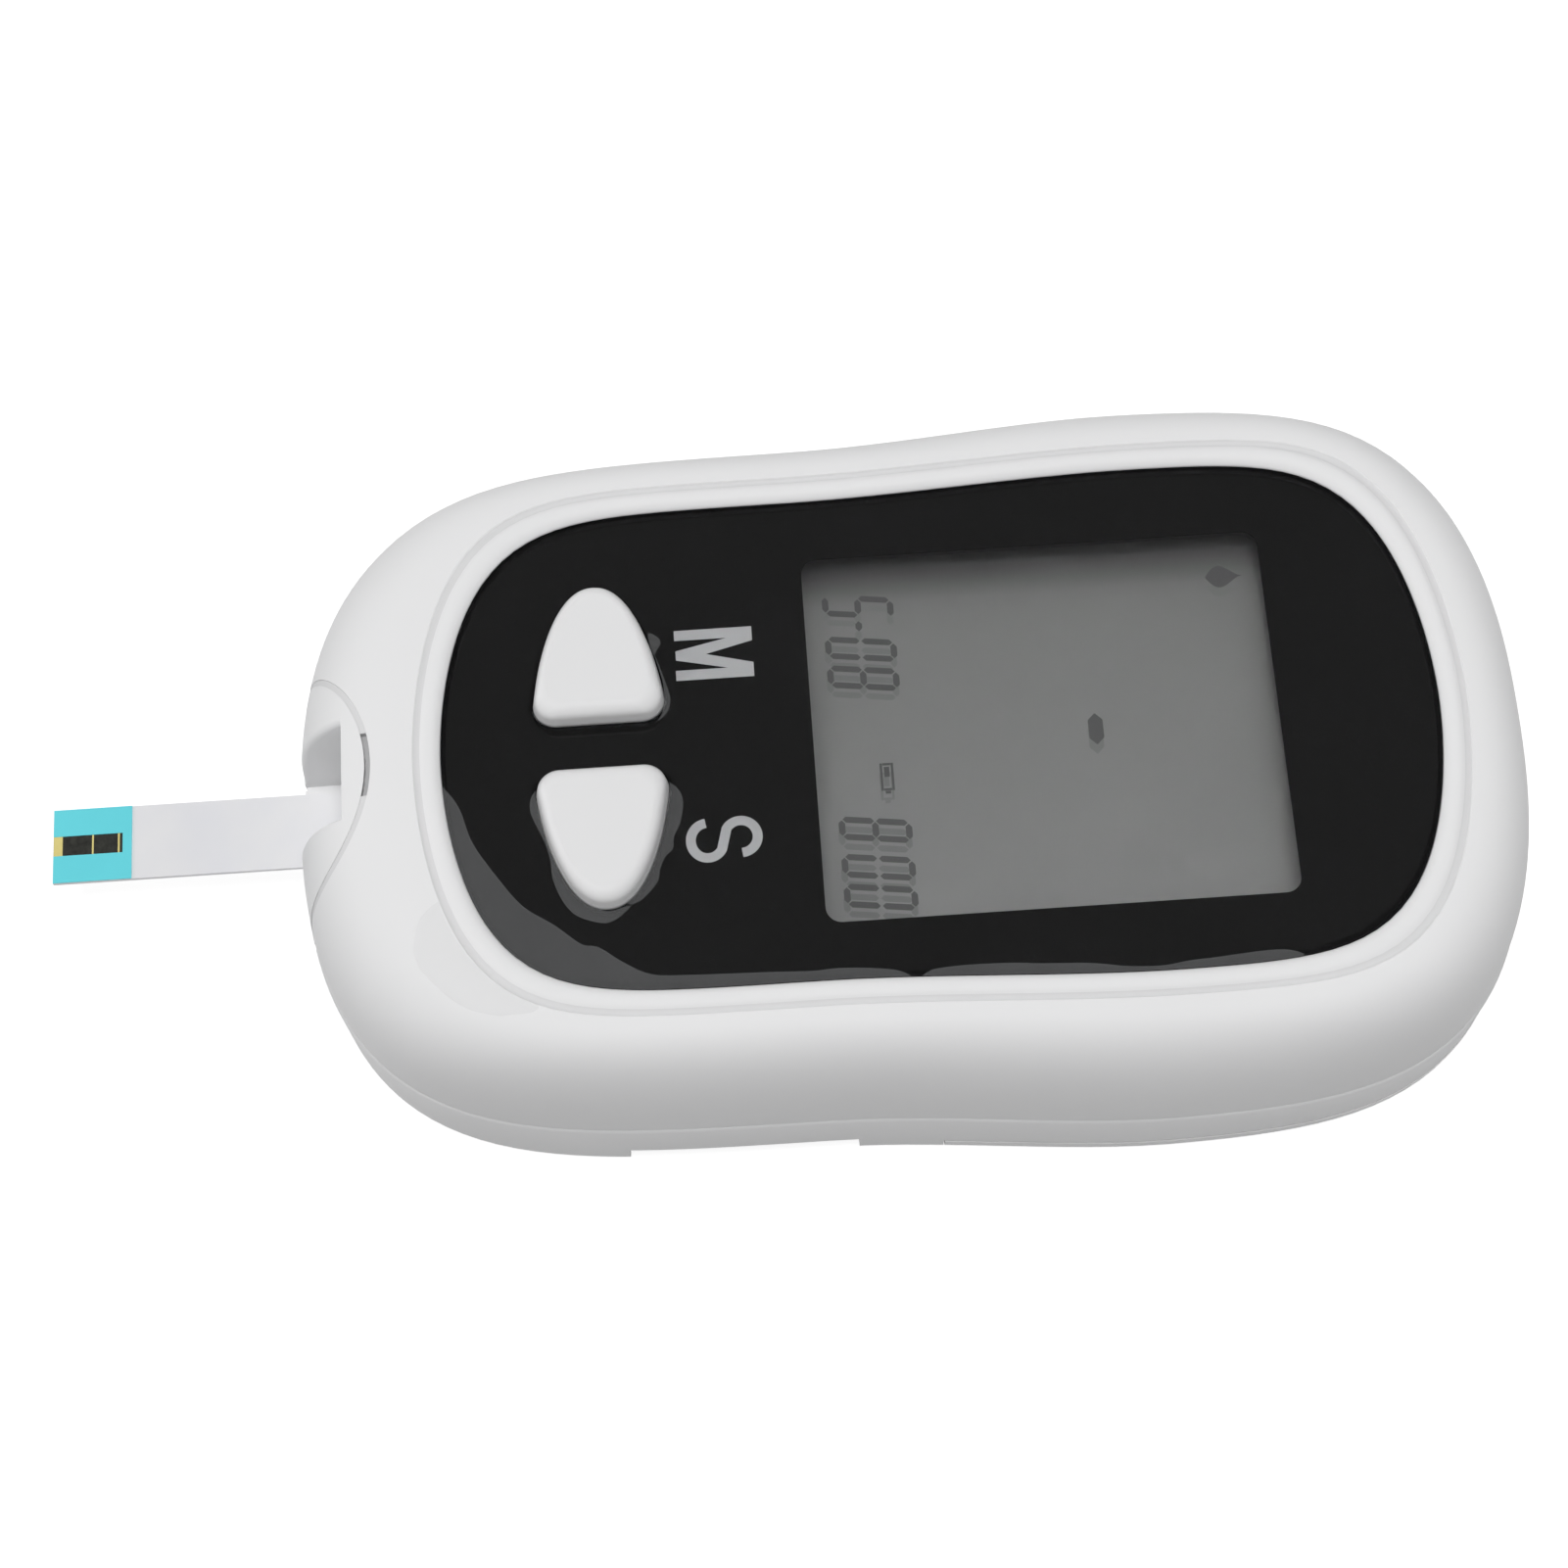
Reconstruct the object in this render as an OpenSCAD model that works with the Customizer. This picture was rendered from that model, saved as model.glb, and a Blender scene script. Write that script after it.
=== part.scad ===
// Pocket blood glucose meter with a test strip in its port.
// Millimetres. The housing rests on z = 0, +Y points to the display end and +X to the user's right.

/* [Housing] */
// Length of the housing
body_length = 92.8; // [92:0.2:98]
// Width of the housing at the strip end
strip_end_width = 52.2; // [52:0.2:54]
// Width of the housing at the display end
display_end_width = 55.4; // [54.6:0.2:58]
// Height of the rim bead above the resting face
body_height = 19.8; // [19.8:0.1:23]
// Height of the seam between the two shells
seam_height = 7.5; // [7.1:0.1:8.4]
// Wall thickness of both shells
wall = 1.5; // [1.2:0.1:1.6]
// Distance from the middle to where the sides begin to widen, towards the strip end
waist_start = 8; // [4:1:14]
// Distance from the middle to where the sides reach their full width, towards the display end
waist_end = 18; // [14:1:24]
// Power of the crown's section: 2 is an ellipse, more is squarer
crown_power = 2.55; // [2:0.05:3]
// Radius along the bottom edge
base_radius = 0.8; // [0.5:0.1:1.2]
// Depth of the cross recess in the underside
recess_depth = 2; // [1.5:0.1:2.4]
// Length of the cross recess
recess_length = 17.3; // [14:0.5:18]
// Length of the band between the cross recess and the battery door
band_length = 6.3; // [5:0.1:7]
// Small bevel on the lower shell's edge at the seam
seam_bevel = 0.1; // [0.05:0.05:0.3]
// How far the lower shell stands out past the upper one at the seam
seam_ledge = 0.15; // [0.05:0.05:0.25]
// Height of the lower shell's tongue inside the upper shell
tongue_height = 1.1; // [0.8:0.1:1.5]

/* [Panel] */
// Length of the panel
panel_length = 73.5; // [72:0.5:76]
// Distance of the panel's centre from the housing's centre
panel_shift = 2.15; // [1:0.05:2.5]
// Width of the panel at the strip end
panel_strip_width = 38.4; // [37:0.2:39]
// Width of the panel at the display end
panel_display_width = 40.3; // [39:0.2:41]
// Depth of the panel below the rim bead
panel_depth = 0.4; // [0.2:0.05:0.6]
// Thickness of the clear lens
lens_thickness = 1; // [0.8:0.1:1.2]
// Thickness of the black print behind the lens
mask_thickness = 0.1; // [0.1:0.05:0.2]
// Thickness of the shell's face behind the lens
face_thickness = 1.1; // [0.9:0.1:1.3]
// Distance of the decorative groove from the panel
groove_distance = 1.4; // [1.1:0.05:1.8]
// Width of the decorative groove
groove_width = 0.55; // [0.4:0.05:0.7]
// Depth of the decorative groove
groove_depth = 0.12; // [0.08:0.02:0.24]
// Thickness of the protective film
film_thickness = 0.1; // [0.08:0.01:0.15]

/* [Display] */
// Width of the clear window
window_width = 29.2; // [26:0.2:29.4]
// Length of the clear window
window_length = 34.4; // [32:0.2:34.6]
// Distance of the window's centre from the housing's centre
window_shift = 10; // [9.5:0.1:10.5]
// Depth of the display glass below the panel
display_depth = 3.2; // [3.1:0.1:3.4]
// Thickness of each sheet of display glass
glass_thickness = 0.55; // [0.4:0.05:0.6]
// Thickness of the display's reflector
reflector_thickness = 0.3; // [0.2:0.05:0.35]
// How far the display glass reaches past the window on each side
glass_border = 2.1; // [1.8:0.1:2.3]
// Wall of the display frame
frame_wall = 1.1; // [0.9:0.1:1.2]

/* [Keys] */
// Distance of each key's flat side from the middle of the panel
key_inner = 2.2; // [1.8:0.1:2.8]
// Length of each key from its flat side to its tip
key_reach = 10.4; // [9:0.1:10.8]
// Width of each key along its flat side
key_width = 9.7; // [8.5:0.1:10]
// Distance of the keys' centre line from the middle of the housing
key_line = 22.8; // [22.4:0.1:23.4]
// Height of the keys above the panel
key_height = 1.8; // [1.4:0.1:2.2]
// Travel of a pressed key
key_travel = 0.5; // [0.3:0.05:0.6]
// Radius round the top edge of a key
key_edge = 0.8; // [0.5:0.1:1]
// Diameter of a key's stem
key_stem = 3; // [2.4:0.1:4]

/* [Strip port] */
// Radius of the port holder's curved back
holder_radius = 10.8; // [10:0.1:11.4]
// Distance of that curve's centre beyond the housing's end
holder_offset = 4.4; // [4:0.1:4.8]
// Width of the thumb notch in the holder
notch_width = 7.6; // [7.2:0.2:9.2]
// Depth of the thumb notch from the housing's end
notch_depth = 4.4; // [3.8:0.1:4.8]
// Floor of the holder below the strip
holder_floor = 1.8; // [1.4:0.1:2]
// Wall of the socket that holds the port holder
socket_wall = 1.2; // [1:0.1:1.4]
// Width of the nail slot behind the holder
nail_slot_width = 5; // [4:0.5:9]
// Extra gap of the nail slot
nail_slot_gap = 0.2; // [0.15:0.05:0.3]

/* [Test strip] */
// Width of a test strip
strip_width = 6; // [5:0.1:6.4]
// Length of a test strip
strip_length = 33; // [32:0.5:34]
// Thickness of the strip's carrier
strip_thickness = 0.35; // [0.25:0.05:0.4]
// Thickness of the strip's cover
cover_thickness = 0.1; // [0.06:0.02:0.12]
// Length of the strip's cover
cover_length = 6; // [5.8:0.1:7]
// Distance of the strip's tip from the housing's end
strip_stand_out = 19.2; // [18.5:0.1:20]
// Length of the open reaction zone
reaction_length = 5.3; // [4.6:0.1:5.5]
// Width of the open reaction zone
reaction_width = 1.6; // [1.2:0.1:2]

/* [Board] */
// Thickness of the circuit board
board_thickness = 0.8; // [0.6:0.1:0.8]
// Height of the elastomer connectors under the display
zebra_height = 1.1; // [1:0.1:1.2]
// Height of the key switches
switch_height = 1.1; // [0.9:0.1:1.2]
// Diameter of a switch's plunger
plunger_diameter = 2; // [1.6:0.1:2.4]
// Diameter of the sounder
buzzer_diameter = 9; // [7:0.5:9.5]

/* [Battery] */
// Diameter of a cell
cell_diameter = 10.5; // [10.1:0.1:10.5]
// Length of a cell with its button
cell_length = 44.5; // [43.3:0.1:44.5]
// Thickness of the battery door
door_thickness = 1.4; // [1.2:0.1:1.4]
// Height of the battery door's edge
door_edge = 1.85; // [1.6:0.05:2]
// Travel of the battery door until it lifts off
door_travel = 6; // [5:0.5:6]
// Wall of the battery bay
bay_wall = 0.8; // [0.7:0.05:0.8]
// Ceiling of the battery bay
bay_ceiling = 0.6; // [0.5:0.05:0.6]

/* [Screws] */
// Diameter of the housing screws
case_screw = 1.7; // [1.5:0.1:2]
// Diameter of the board screws
board_screw = 1.4; // [1.2:0.1:1.6]
// Diameter of the bosses for the housing screws
case_boss = 4.4; // [4:0.1:4.8]

/* [Fits] */
// Gap round the lens
lens_gap = 0.1; // [0.05:0.05:0.2]
// Gap round each key
key_gap = 0.25; // [0.15:0.05:0.35]
// Gap round the port holder
holder_gap = 0.25; // [0.15:0.05:0.3]
// Gap at the battery door
door_gap = 0.1; // [0.05:0.05:0.15]
// Gap between the tongue and the upper shell
tongue_gap = 0.1; // [0.05:0.05:0.2]
// Gap above and below the strip in its slot
strip_gap = 0.1; // [0.06:0.02:0.12]
// Radial clearance of a plunger in its switch
plunger_fit = 0.05; // [0.02:0.01:0.08]
// Radial clearance of a screw in its boss
screw_fit = 0.02; // [0.01:0.01:0.03]

/* [Hidden] */

$fn = 48;
side_steps = 9;        // points along each side of an outline, to its corner
end_steps = 8;         // points from there to the middle of the end
slot_end_fn = 24;
window_corner = 1.2;   // corner radius of the clear window

// Levels, from the top down
panel_top = body_height - panel_depth;
lens_bottom = panel_top - lens_thickness;
face_top = lens_bottom - mask_thickness;
face_bottom = face_top - face_thickness;
glass_top = panel_top - display_depth;
rear_glass_top = glass_top - glass_thickness;
reflector_top = rear_glass_top - glass_thickness;
board_top = reflector_top - zebra_height;
board_bottom = board_top - board_thickness;
boss_top = face_bottom + 0.4;
inner_gap = 0.1;       // between parts that are laid into each other
window_step = 0.8;     // how far the openings behind the lens stand back from the window
board_boss = 3.6;
strip_side_gap = 0.2;
screw_head = 3.4;
screw_head_height = 1.1;
nail_slot_depth = 1.4; // below the panel's level

// Levels, from the base up
floor_top = max(recess_depth, door_edge) + wall;
strip_bottom = seam_height - 0.5;
strip_top = strip_bottom + strip_thickness + cover_thickness;
holder_bottom = strip_bottom - holder_floor;
cell_bottom = door_thickness + door_gap;
cell_z = cell_bottom + cell_diameter / 2;
bay_top = cell_bottom + cell_diameter + inner_gap;

// Places along the housing
strip_end = -body_length / 2;
display_end = body_length / 2;
door_front = 0.7;
band_front = door_front - band_length;
recess_front = band_front - recess_length;
holder_y = strip_end - holder_offset;
holder_back = holder_y + holder_radius;
strip_tip = strip_end - strip_stand_out;
strip_back = strip_tip + strip_length;
notch_back = strip_end + notch_depth;
socket_back = holder_back + holder_gap + socket_wall;
connector_front = socket_back + 0.2;
connector_back = strip_back + 3.5;
bay_front = door_front + 3.2;
bay_half = cell_length / 2 + 1.45;
cell_pitch = cell_diameter + 0.5;
bay_length = cell_pitch + cell_diameter + 0.5;
front_cell_y = bay_front + 0.25 + cell_diameter / 2;
rear_cell_y = front_cell_y + cell_pitch;
bay_back = bay_front + bay_length;

// Outline of the housing: x / half width = (1 - |y / half length| ^ side) ^ (1 / end)
strip_powers = [5.1, 2.5];
display_powers = [5.5, 2.46];
panel_powers = [8.2, 1.87];

function smooth(t) = let (c = max(0, min(1, t))) c * c * (3 - 2 * c);
function blend(a, b, t) = a + (b - a) * t;
function widening(y) = smooth((y + waist_start) / (waist_start + waist_end));

// One quarter of an outline as fractions [x, y], from the middle of the side to the middle of the end
function quarter(powers) = let (
    corner_y = pow(0.5, 1 / powers[0]),
    corner_x = pow(0.5, 1 / powers[1])) concat(
    [for (i = [0 : side_steps])
        let (v = corner_y * (1 - pow(1 - i / side_steps, 1.3)))
            [pow(1 - pow(v, powers[0]), 1 / powers[1]), v]],
    [for (i = [1 : end_steps])
        let (u = corner_x * (1 - i / end_steps)) [u, pow(1 - pow(u, powers[1]), 1 / powers[0])]]);

function reversed(list) = [for (i = [len(list) - 1 : -1 : 0]) list[i]];
function inner(list) = [for (i = [1 : len(list) - 2]) list[i]];

// All round, anticlockwise from the middle of the right side
function all_round(far, near) = concat(far,
    [for (p = inner(reversed(far))) [-p[0], p[1]]],
    [for (p = near) [-p[0], -p[1]]],
    [for (p = inner(reversed(near))) [p[0], -p[1]]]);

body_fractions = all_round(quarter(display_powers), quarter(strip_powers));
panel_fractions = all_round(quarter(panel_powers), quarter(panel_powers));

// Outline of the housing, pulled in by inset, at height z
function body_ring(inset, z) = [for (f = body_fractions)
    let (y = f[1] * (body_length / 2 - inset),
         half = blend(strip_end_width, display_end_width, widening(y)) / 2 - inset) [f[0] * half, y, z]];

// Outline of the panel, let out by grow, at height z
function panel_ring(grow, z) = [for (f = panel_fractions)
    let (y = panel_shift + f[1] * (panel_length / 2 + grow),
         half = blend(panel_strip_width, panel_display_width, widening(y)) / 2 + grow) [f[0] * half, y, z]];

function flat_ring(ring) = [for (p = ring) [p[0], p[1]]];
function ring_blend(a, b, t, z) = [for (i = [0 : len(a) - 1])
    [blend(a[i][0], b[i][0], t), blend(a[i][1], b[i][1], t), z]];

// Rings of a crown that rises from ring a at low to ring b at high
function crown(a, b, low, high, angles) = [for (q = angles)
    ring_blend(a, b, 1 - pow(cos(q), 2 / crown_power), low + (high - low) * pow(sin(q), 2 / crown_power))];

// Closed solid through a stack of rings with equal counts of points, from the bottom up round middle
module loft(rings, middle = [0, panel_shift]) {
    n = len(rings[0]);
    last = len(rings) - 1;
    points = concat([for (r = rings) each r],
        [[middle[0], middle[1], rings[0][0][2]], [middle[0], middle[1], rings[last][0][2]]]);
    bands = [for (k = [0 : last - 1], i = [0 : n - 1]) let (j = (i + 1) % n)
        [k * n + i, (k + 1) * n + i, (k + 1) * n + j, k * n + j]];
    first_cap = [for (i = [0 : n - 1]) [(last + 1) * n, i, (i + 1) % n]];
    last_cap = [for (i = [0 : n - 1]) [(last + 1) * n + 1, last * n + (i + 1) % n, last * n + i]];
    polyhedron(points, concat(bands, first_cap, last_cap));
}

// Flat plate in the outline of a ring
module plate(ring, low, high) {
    translate([0, 0, low]) linear_extrude(high - low) polygon(flat_ring(ring));
}

module box(x, y, z) {
    translate([x[0], y[0], z[0]]) cube([x[1] - x[0], y[1] - y[0], z[1] - z[0]]);
}

module rounded_slab(width, length, radius, low, high) {
    translate([0, 0, low]) linear_extrude(high - low) union() {
        square([width - 2 * radius, length], center = true);
        square([width, length - 2 * radius], center = true);
        for (x = [-1, 1], y = [-1, 1])
            translate([x * (width / 2 - radius), y * (length / 2 - radius)])
                circle(radius, $fn = slot_end_fn);
    }
}

// Half profile of a key: it widens from the tip, fraction t along its reach
function key_half(t) = pow(1 - pow(1 - t, 1.7), 1 / 1.8);
key_corner = 1.4;
key_points = 9;
corner_points = 4;

// Outline of the right-hand key, let out by grow, at height z
function key_ring(grow, z) =
    let (reach = key_reach + 2 * grow, half = key_width / 2 + grow,
         corner = key_corner + max(0, grow),
         last_t = 1 - corner / reach, flat = key_inner - grow, tip = key_inner + key_reach + grow,
         edge = half * key_half(last_t),
         upper = concat(
            [for (i = [0 : key_points]) let (t = last_t * pow(i / key_points, 2))
                [tip - reach * t, half * key_half(t)]],
            [for (i = [1 : corner_points]) let (a = 90 * i / corner_points)
                [flat + corner - corner * sin(a), edge - corner + corner * cos(a)]]))
    [for (p = concat(upper, [for (q = reversed(upper)) if (q[1] > 0) [q[0], -q[1]]]))
        [p[0], p[1] - key_line, z]];

module key_holes(grow, low, high) {
    for (side = [0, 1]) mirror([side, 0, 0]) plate(key_ring(grow, 0), low, high);
}

// Housing screws: two in the cross recess, two under the battery door
case_screw_places = [[20, band_front - recess_length / 2], [9, display_end - 6.5]];
// Board screws: two beside the strip connector, two past the display
board_screw_places = [[12.5, strip_end + 12], [14.3, window_shift + window_length / 2 + 6.2]];
module at_pairs(places) {
    for (p = places, side = [-1, 1]) translate([side * p[0], p[1], 0]) children();
}
case_head_z = floor_top + 1;
case_screw_top = seam_height + 5;

// --- Upper shell -------------------------------------------------------------------------------
crown_angles = [10, 20, 31, 43, 55, 67, 78, 90];
inner_angles = [12, 30, 50, 70, 90];
groove_top = body_height - 0.15;

function outer_crown() = concat(
    [body_ring(seam_ledge, seam_height)],
    crown(body_ring(seam_ledge, 0), panel_ring(groove_distance + groove_width, 0),
        seam_height, groove_top, crown_angles));

// The upper shell's outer form, pulled in by inset, without groove and rim
module crown_form(inset) {
    side = seam_ledge + inset;
    loft(concat([body_ring(side, seam_height)],
        crown(body_ring(side, 0), panel_ring(groove_distance + groove_width - inset, 0), seam_height,
            groove_top - inset, crown_angles)));
}

module front_shell() color("whitesmoke") {
    outer = outer_crown();
    groove = [panel_ring(groove_distance + groove_width * 0.8, groove_top - groove_depth),
        panel_ring(groove_distance + groove_width * 0.2, groove_top - groove_depth),
        panel_ring(groove_distance, groove_top + 0.08)];
    bead = [panel_ring(groove_distance * 0.7, body_height), panel_ring(groove_distance * 0.25, body_height),
        panel_ring(0, body_height - 0.2)];
    tongue_seat = wall / 2 - tongue_gap / 2;
    seat_top = seam_height + tongue_height + 0.2;
    inside = concat([body_ring(tongue_seat, seam_height), body_ring(tongue_seat, seat_top),
        body_ring(wall, seat_top)],
        crown(body_ring(wall, 0), panel_ring(0.3, 0), seat_top, face_bottom, inner_angles));
    difference() {
        union() {
            loft(concat(reversed(inside), outer, groove, bead, [panel_ring(0, face_top)]));
            at_pairs(case_screw_places)
                translate([0, 0, seam_height]) cylinder(boss_top - seam_height, d = case_boss);
            at_pairs(board_screw_places)
                translate([0, 0, board_top]) cylinder(boss_top - board_top, d = board_boss);
            intersection() {
                crown_form(wall / 2);
                translate([0, holder_y, seam_height])
                    cylinder(body_height, r = holder_radius + holder_gap + socket_wall);
            }
        }
        translate([0, holder_y, 0]) cylinder(2 * body_height, r = holder_radius + holder_gap);
        intersection() {
            translate([0, holder_y, panel_top - nail_slot_depth])
                cylinder(body_height, r = holder_radius + holder_gap + nail_slot_gap);
            box([-nail_slot_width / 2, nail_slot_width / 2], [strip_end, 0], [0, 2 * body_height]);
        }
        strip_way();
        translate([0, window_shift, 0]) rounded_slab(window_width + 2 * window_step,
            window_length + 2 * window_step, window_corner + window_step, face_bottom - 1, face_top + 1);
        key_holes(key_gap, face_bottom - 1, face_top + 1);
        at_pairs(case_screw_places) translate([0, 0, seam_height - 1])
            cylinder(case_screw_top + 1.5 - seam_height, r = case_screw / 2 + screw_fit);
        at_pairs(board_screw_places)
            translate([0, 0, board_top - 1]) cylinder(4.5, r = board_screw / 2 + screw_fit);
    }
}

// Passage for the strip through the socket
module strip_way() {
    box([-strip_width / 2 - 1, strip_width / 2 + 1], [holder_y, connector_front],
        [strip_bottom - 1, strip_top + 1]);
}

// --- Lower shell -------------------------------------------------------------------------------
base_angles = [0, 30, 60, 90];
draft = 0.2;
function base_rings(low_z) = [for (a = base_angles)
    body_ring(draft + base_radius * (1 - sin(a)), base_radius * (1 - cos(a)) + low_z)];

module back_form() {
    loft(concat(base_rings(0),
        [body_ring(0, seam_height - seam_bevel), body_ring(seam_bevel, seam_height)]));
}

// The lower shell's form up to the seam, pulled in to the middle of its wall
module back_core() {
    loft([body_ring(draft + base_radius + wall / 2, wall / 2),
        body_ring(draft + wall / 2, base_radius + wall / 2), body_ring(wall / 2, seam_height)]);
}

module back_shell() color("whitesmoke") {
    tongue_outer = wall / 2 + tongue_gap / 2;
    difference() {
        union() {
            loft(concat(base_rings(0), [body_ring(0, seam_height - seam_bevel),
                body_ring(seam_bevel, seam_height), body_ring(tongue_outer, seam_height),
                body_ring(tongue_outer, seam_height + tongue_height),
                body_ring(wall, seam_height + tongue_height), body_ring(wall, floor_top)]));
            intersection() {
                back_core();
                translate([0, holder_y, 0])
                    cylinder(seam_height, r = holder_radius + holder_gap + socket_wall);
            }
            at_pairs(case_screw_places) translate([0, 0, floor_top - wall])
                cylinder(seam_height - floor_top + wall, d = case_boss + 0.6);
            box([-bay_half - bay_wall, bay_half + bay_wall], [bay_front - bay_wall, bay_back + bay_wall],
                [floor_top - wall, bay_top + bay_ceiling]);
        }
        // Socket of the port holder
        translate([0, holder_y, holder_bottom - holder_gap])
            cylinder(body_height, r = holder_radius + holder_gap);
        strip_way();
        // The tongue stops beside the upper shell's socket wall
        translate([0, holder_y, seam_height])
            cylinder(body_height, r = holder_radius + holder_gap + socket_wall + tongue_gap);
        // Cross recess
        box([-body_length, body_length], [recess_front, band_front], [-1, recess_depth]);
        // Seat of the battery door
        box([-body_length, body_length], [door_front, body_length], [-1, door_edge + door_gap]);
        door_tongues(door_gap);
        for (side = [-1, 1]) translate([side * hook_x, hook_y, 0]) keyhole();
        // Battery bay
        box([-bay_half, bay_half], [bay_front, bay_back], [-1, bay_top]);
        // Housing screws
        at_pairs(case_screw_places) {
            translate([0, 0, -1]) cylinder(1 + case_head_z, r = screw_head / 2 + 0.2);
            cylinder(body_height, r = case_screw / 2 + 0.15);
        }
    }
}

// --- Battery door ------------------------------------------------------------------------------
hook_x = 17;
hook_y = bay_back + 4.2;
hook_length = 3;
hook_top = floor_top + 0.15;

// Tongues on the door's front edge, which enter slots in the band
module door_tongues(grow) {
    for (side = [-1, 1])
        box([side * 11 - 3 - grow, side * 11 + 3 + grow], [door_front - 1.8 - grow, door_front + 1],
            [0.4 - grow, 1.2 + grow]);
}

// Slot for a hook: narrow where the hook holds, wide where it lifts out
module keyhole() {
    box([-1, 1], [-hook_length / 2 - 0.2, hook_length / 2 + door_travel], [0, floor_top + 1]);
    box([-2.2, 2.2], [door_travel - hook_length / 2 - 0.2, door_travel + hook_length / 2 + 0.2],
        [0, floor_top + 1]);
}

module battery_door() color("whitesmoke") {
    difference() {
        union() {
            intersection() {
                back_form();
                box([-body_length, body_length], [door_front + door_gap, body_length], [-1, door_edge]);
            }
            door_tongues(0);
            for (side = [-1, 1]) translate([side * hook_x, hook_y, 0]) {
                box([-0.8, 0.8], [-hook_length / 2, hook_length / 2], [door_thickness, hook_top + 0.8]);
                box([-1.9, 1.9], [-hook_length / 2, hook_length / 2], [hook_top, hook_top + 0.8]);
            }
        }
        // Thinned inside its edge
        difference() {
            plate(body_ring(base_radius + 0.9, 0), door_thickness, door_edge + 1);
            box([-body_length, body_length], [-body_length, door_front + 1], [0, body_height]);
            for (side = [-1, 1]) translate([side * hook_x, hook_y, 0])
                box([-1.9, 1.9], [-hook_length / 2, hook_length / 2], [0, body_height]);
        }
        // Free of the cells when the door slides
        box([-bay_half - 1, bay_half + 1], [door_front, bay_back + 1], [door_thickness, door_edge + 1]);
        // Finger grooves
        for (i = [0 : 4])
            translate([0, door_front + 4 + i * 1.6, 0]) box([-7 + i * 0.6, 7 - i * 0.6], [0, 0.8], [-1, 0.35]);
    }
}

// --- Panel -------------------------------------------------------------------------------------
module window_lens() color([0.75, 0.78, 0.8, 0.35]) difference() {
    plate(panel_ring(-lens_gap, 0), lens_bottom, panel_top);
    key_holes(key_gap, lens_bottom - 1, panel_top + 1);
}

module window_mask() color([0.1, 0.1, 0.11]) difference() {
    plate(panel_ring(-lens_gap, 0), face_top, lens_bottom);
    key_holes(key_gap, face_top - 1, lens_bottom + 1);
    translate([0, window_shift, 0])
        rounded_slab(window_width, window_length, window_corner, face_top - 1, lens_bottom + 1);
}

module screen_film() color([0.8, 0.82, 0.85, 0.3]) difference() {
    plate(panel_ring(-0.4, 0), panel_top, panel_top + film_thickness);
    key_holes(2 * key_gap, panel_top - 1, panel_top + 1);
}

// --- Keys --------------------------------------------------------------------------------------
key_top = panel_top + key_height;
key_flange = 0.8;
flange_top = face_bottom - inner_gap;
flange_bottom = flange_top - key_flange;
stem_bottom = board_top + switch_height + key_travel + inner_gap;
stem_x = key_inner + key_reach * 0.42;
switch_floor = 0.1;
plunger_bottom = board_top + switch_floor + key_travel + inner_gap / 2;
switch_size = 5;

module key_cap() color("whitesmoke") {
    loft([key_ring(key_flange, flange_bottom), key_ring(key_flange, flange_top), key_ring(0, flange_top),
        key_ring(0, key_top - key_edge), key_ring(-key_edge * 0.08, key_top - key_edge * 0.5),
        key_ring(-key_edge * 0.38, key_top - key_edge * 0.16), key_ring(-key_edge, key_top)],
        [key_inner + key_reach * 0.4, -key_line]);
    translate([stem_x, -key_line, stem_bottom]) cylinder(flange_bottom - stem_bottom, d = key_stem);
}

module switch_plunger() color("dimgray")
    translate([stem_x, -key_line, plunger_bottom])
        cylinder(stem_bottom - plunger_bottom, d = plunger_diameter);

module memory_key_cap() mirror([1, 0, 0]) key_cap();
module memory_switch_plunger() mirror([1, 0, 0]) switch_plunger();
module set_key_cap() key_cap();
module set_switch_plunger() switch_plunger();

module switch_housings() color("silver")
    for (side = [-1, 1]) translate([side * stem_x, -key_line, board_top]) difference() {
        translate([0, 0, switch_height / 2]) cube([switch_size, switch_size, switch_height], center = true);
        translate([0, 0, switch_floor]) cylinder(switch_height, r = plunger_diameter / 2 + plunger_fit);
    }

// --- Strip port --------------------------------------------------------------------------------
module port_holder() color("whitesmoke") difference() {
    union() {
        intersection() {
            crown_form(0);
            translate([0, holder_y, 0]) cylinder(body_height, r = holder_radius);
        }
        intersection() {
            back_form();
            translate([0, holder_y, holder_bottom]) cylinder(body_height, r = holder_radius);
        }
    }
    slot_floor = strip_bottom - strip_gap;
    box([-strip_slot / 2, strip_slot / 2], [holder_y, 0], [slot_floor, strip_top + strip_gap]);
    box([-notch_width / 2, notch_width / 2], [holder_y, notch_back], [slot_floor, 2 * body_height]);
}

strip_slot = strip_width + 2 * strip_side_gap;
connector_half = 7;
connector_base = 1.5;
contact_count = 6;
contact_pitch = 0.85;
contact_width = 0.3;
contact_thickness = 0.18;
contact_height = 3.6;
contact_bend = 1.2;    // height where a contact turns down towards the strip
contact_lift = 0.05;   // gap between a contact and the strip
module strip_connector() color([0.15, 0.15, 0.16]) difference() {
    box([-connector_half, connector_half], [connector_front, connector_back],
        [strip_bottom - connector_base, board_bottom]);
    box([-strip_slot / 2, strip_slot / 2], [connector_front - 1, strip_back + 0.3],
        [strip_bottom - strip_gap, strip_top + strip_gap]);
    box([-contact_count * contact_pitch / 2, contact_count * contact_pitch / 2],
        [connector_front + 1.2, strip_back + 2.2], [strip_top, strip_top + contact_height]);
}

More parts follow.
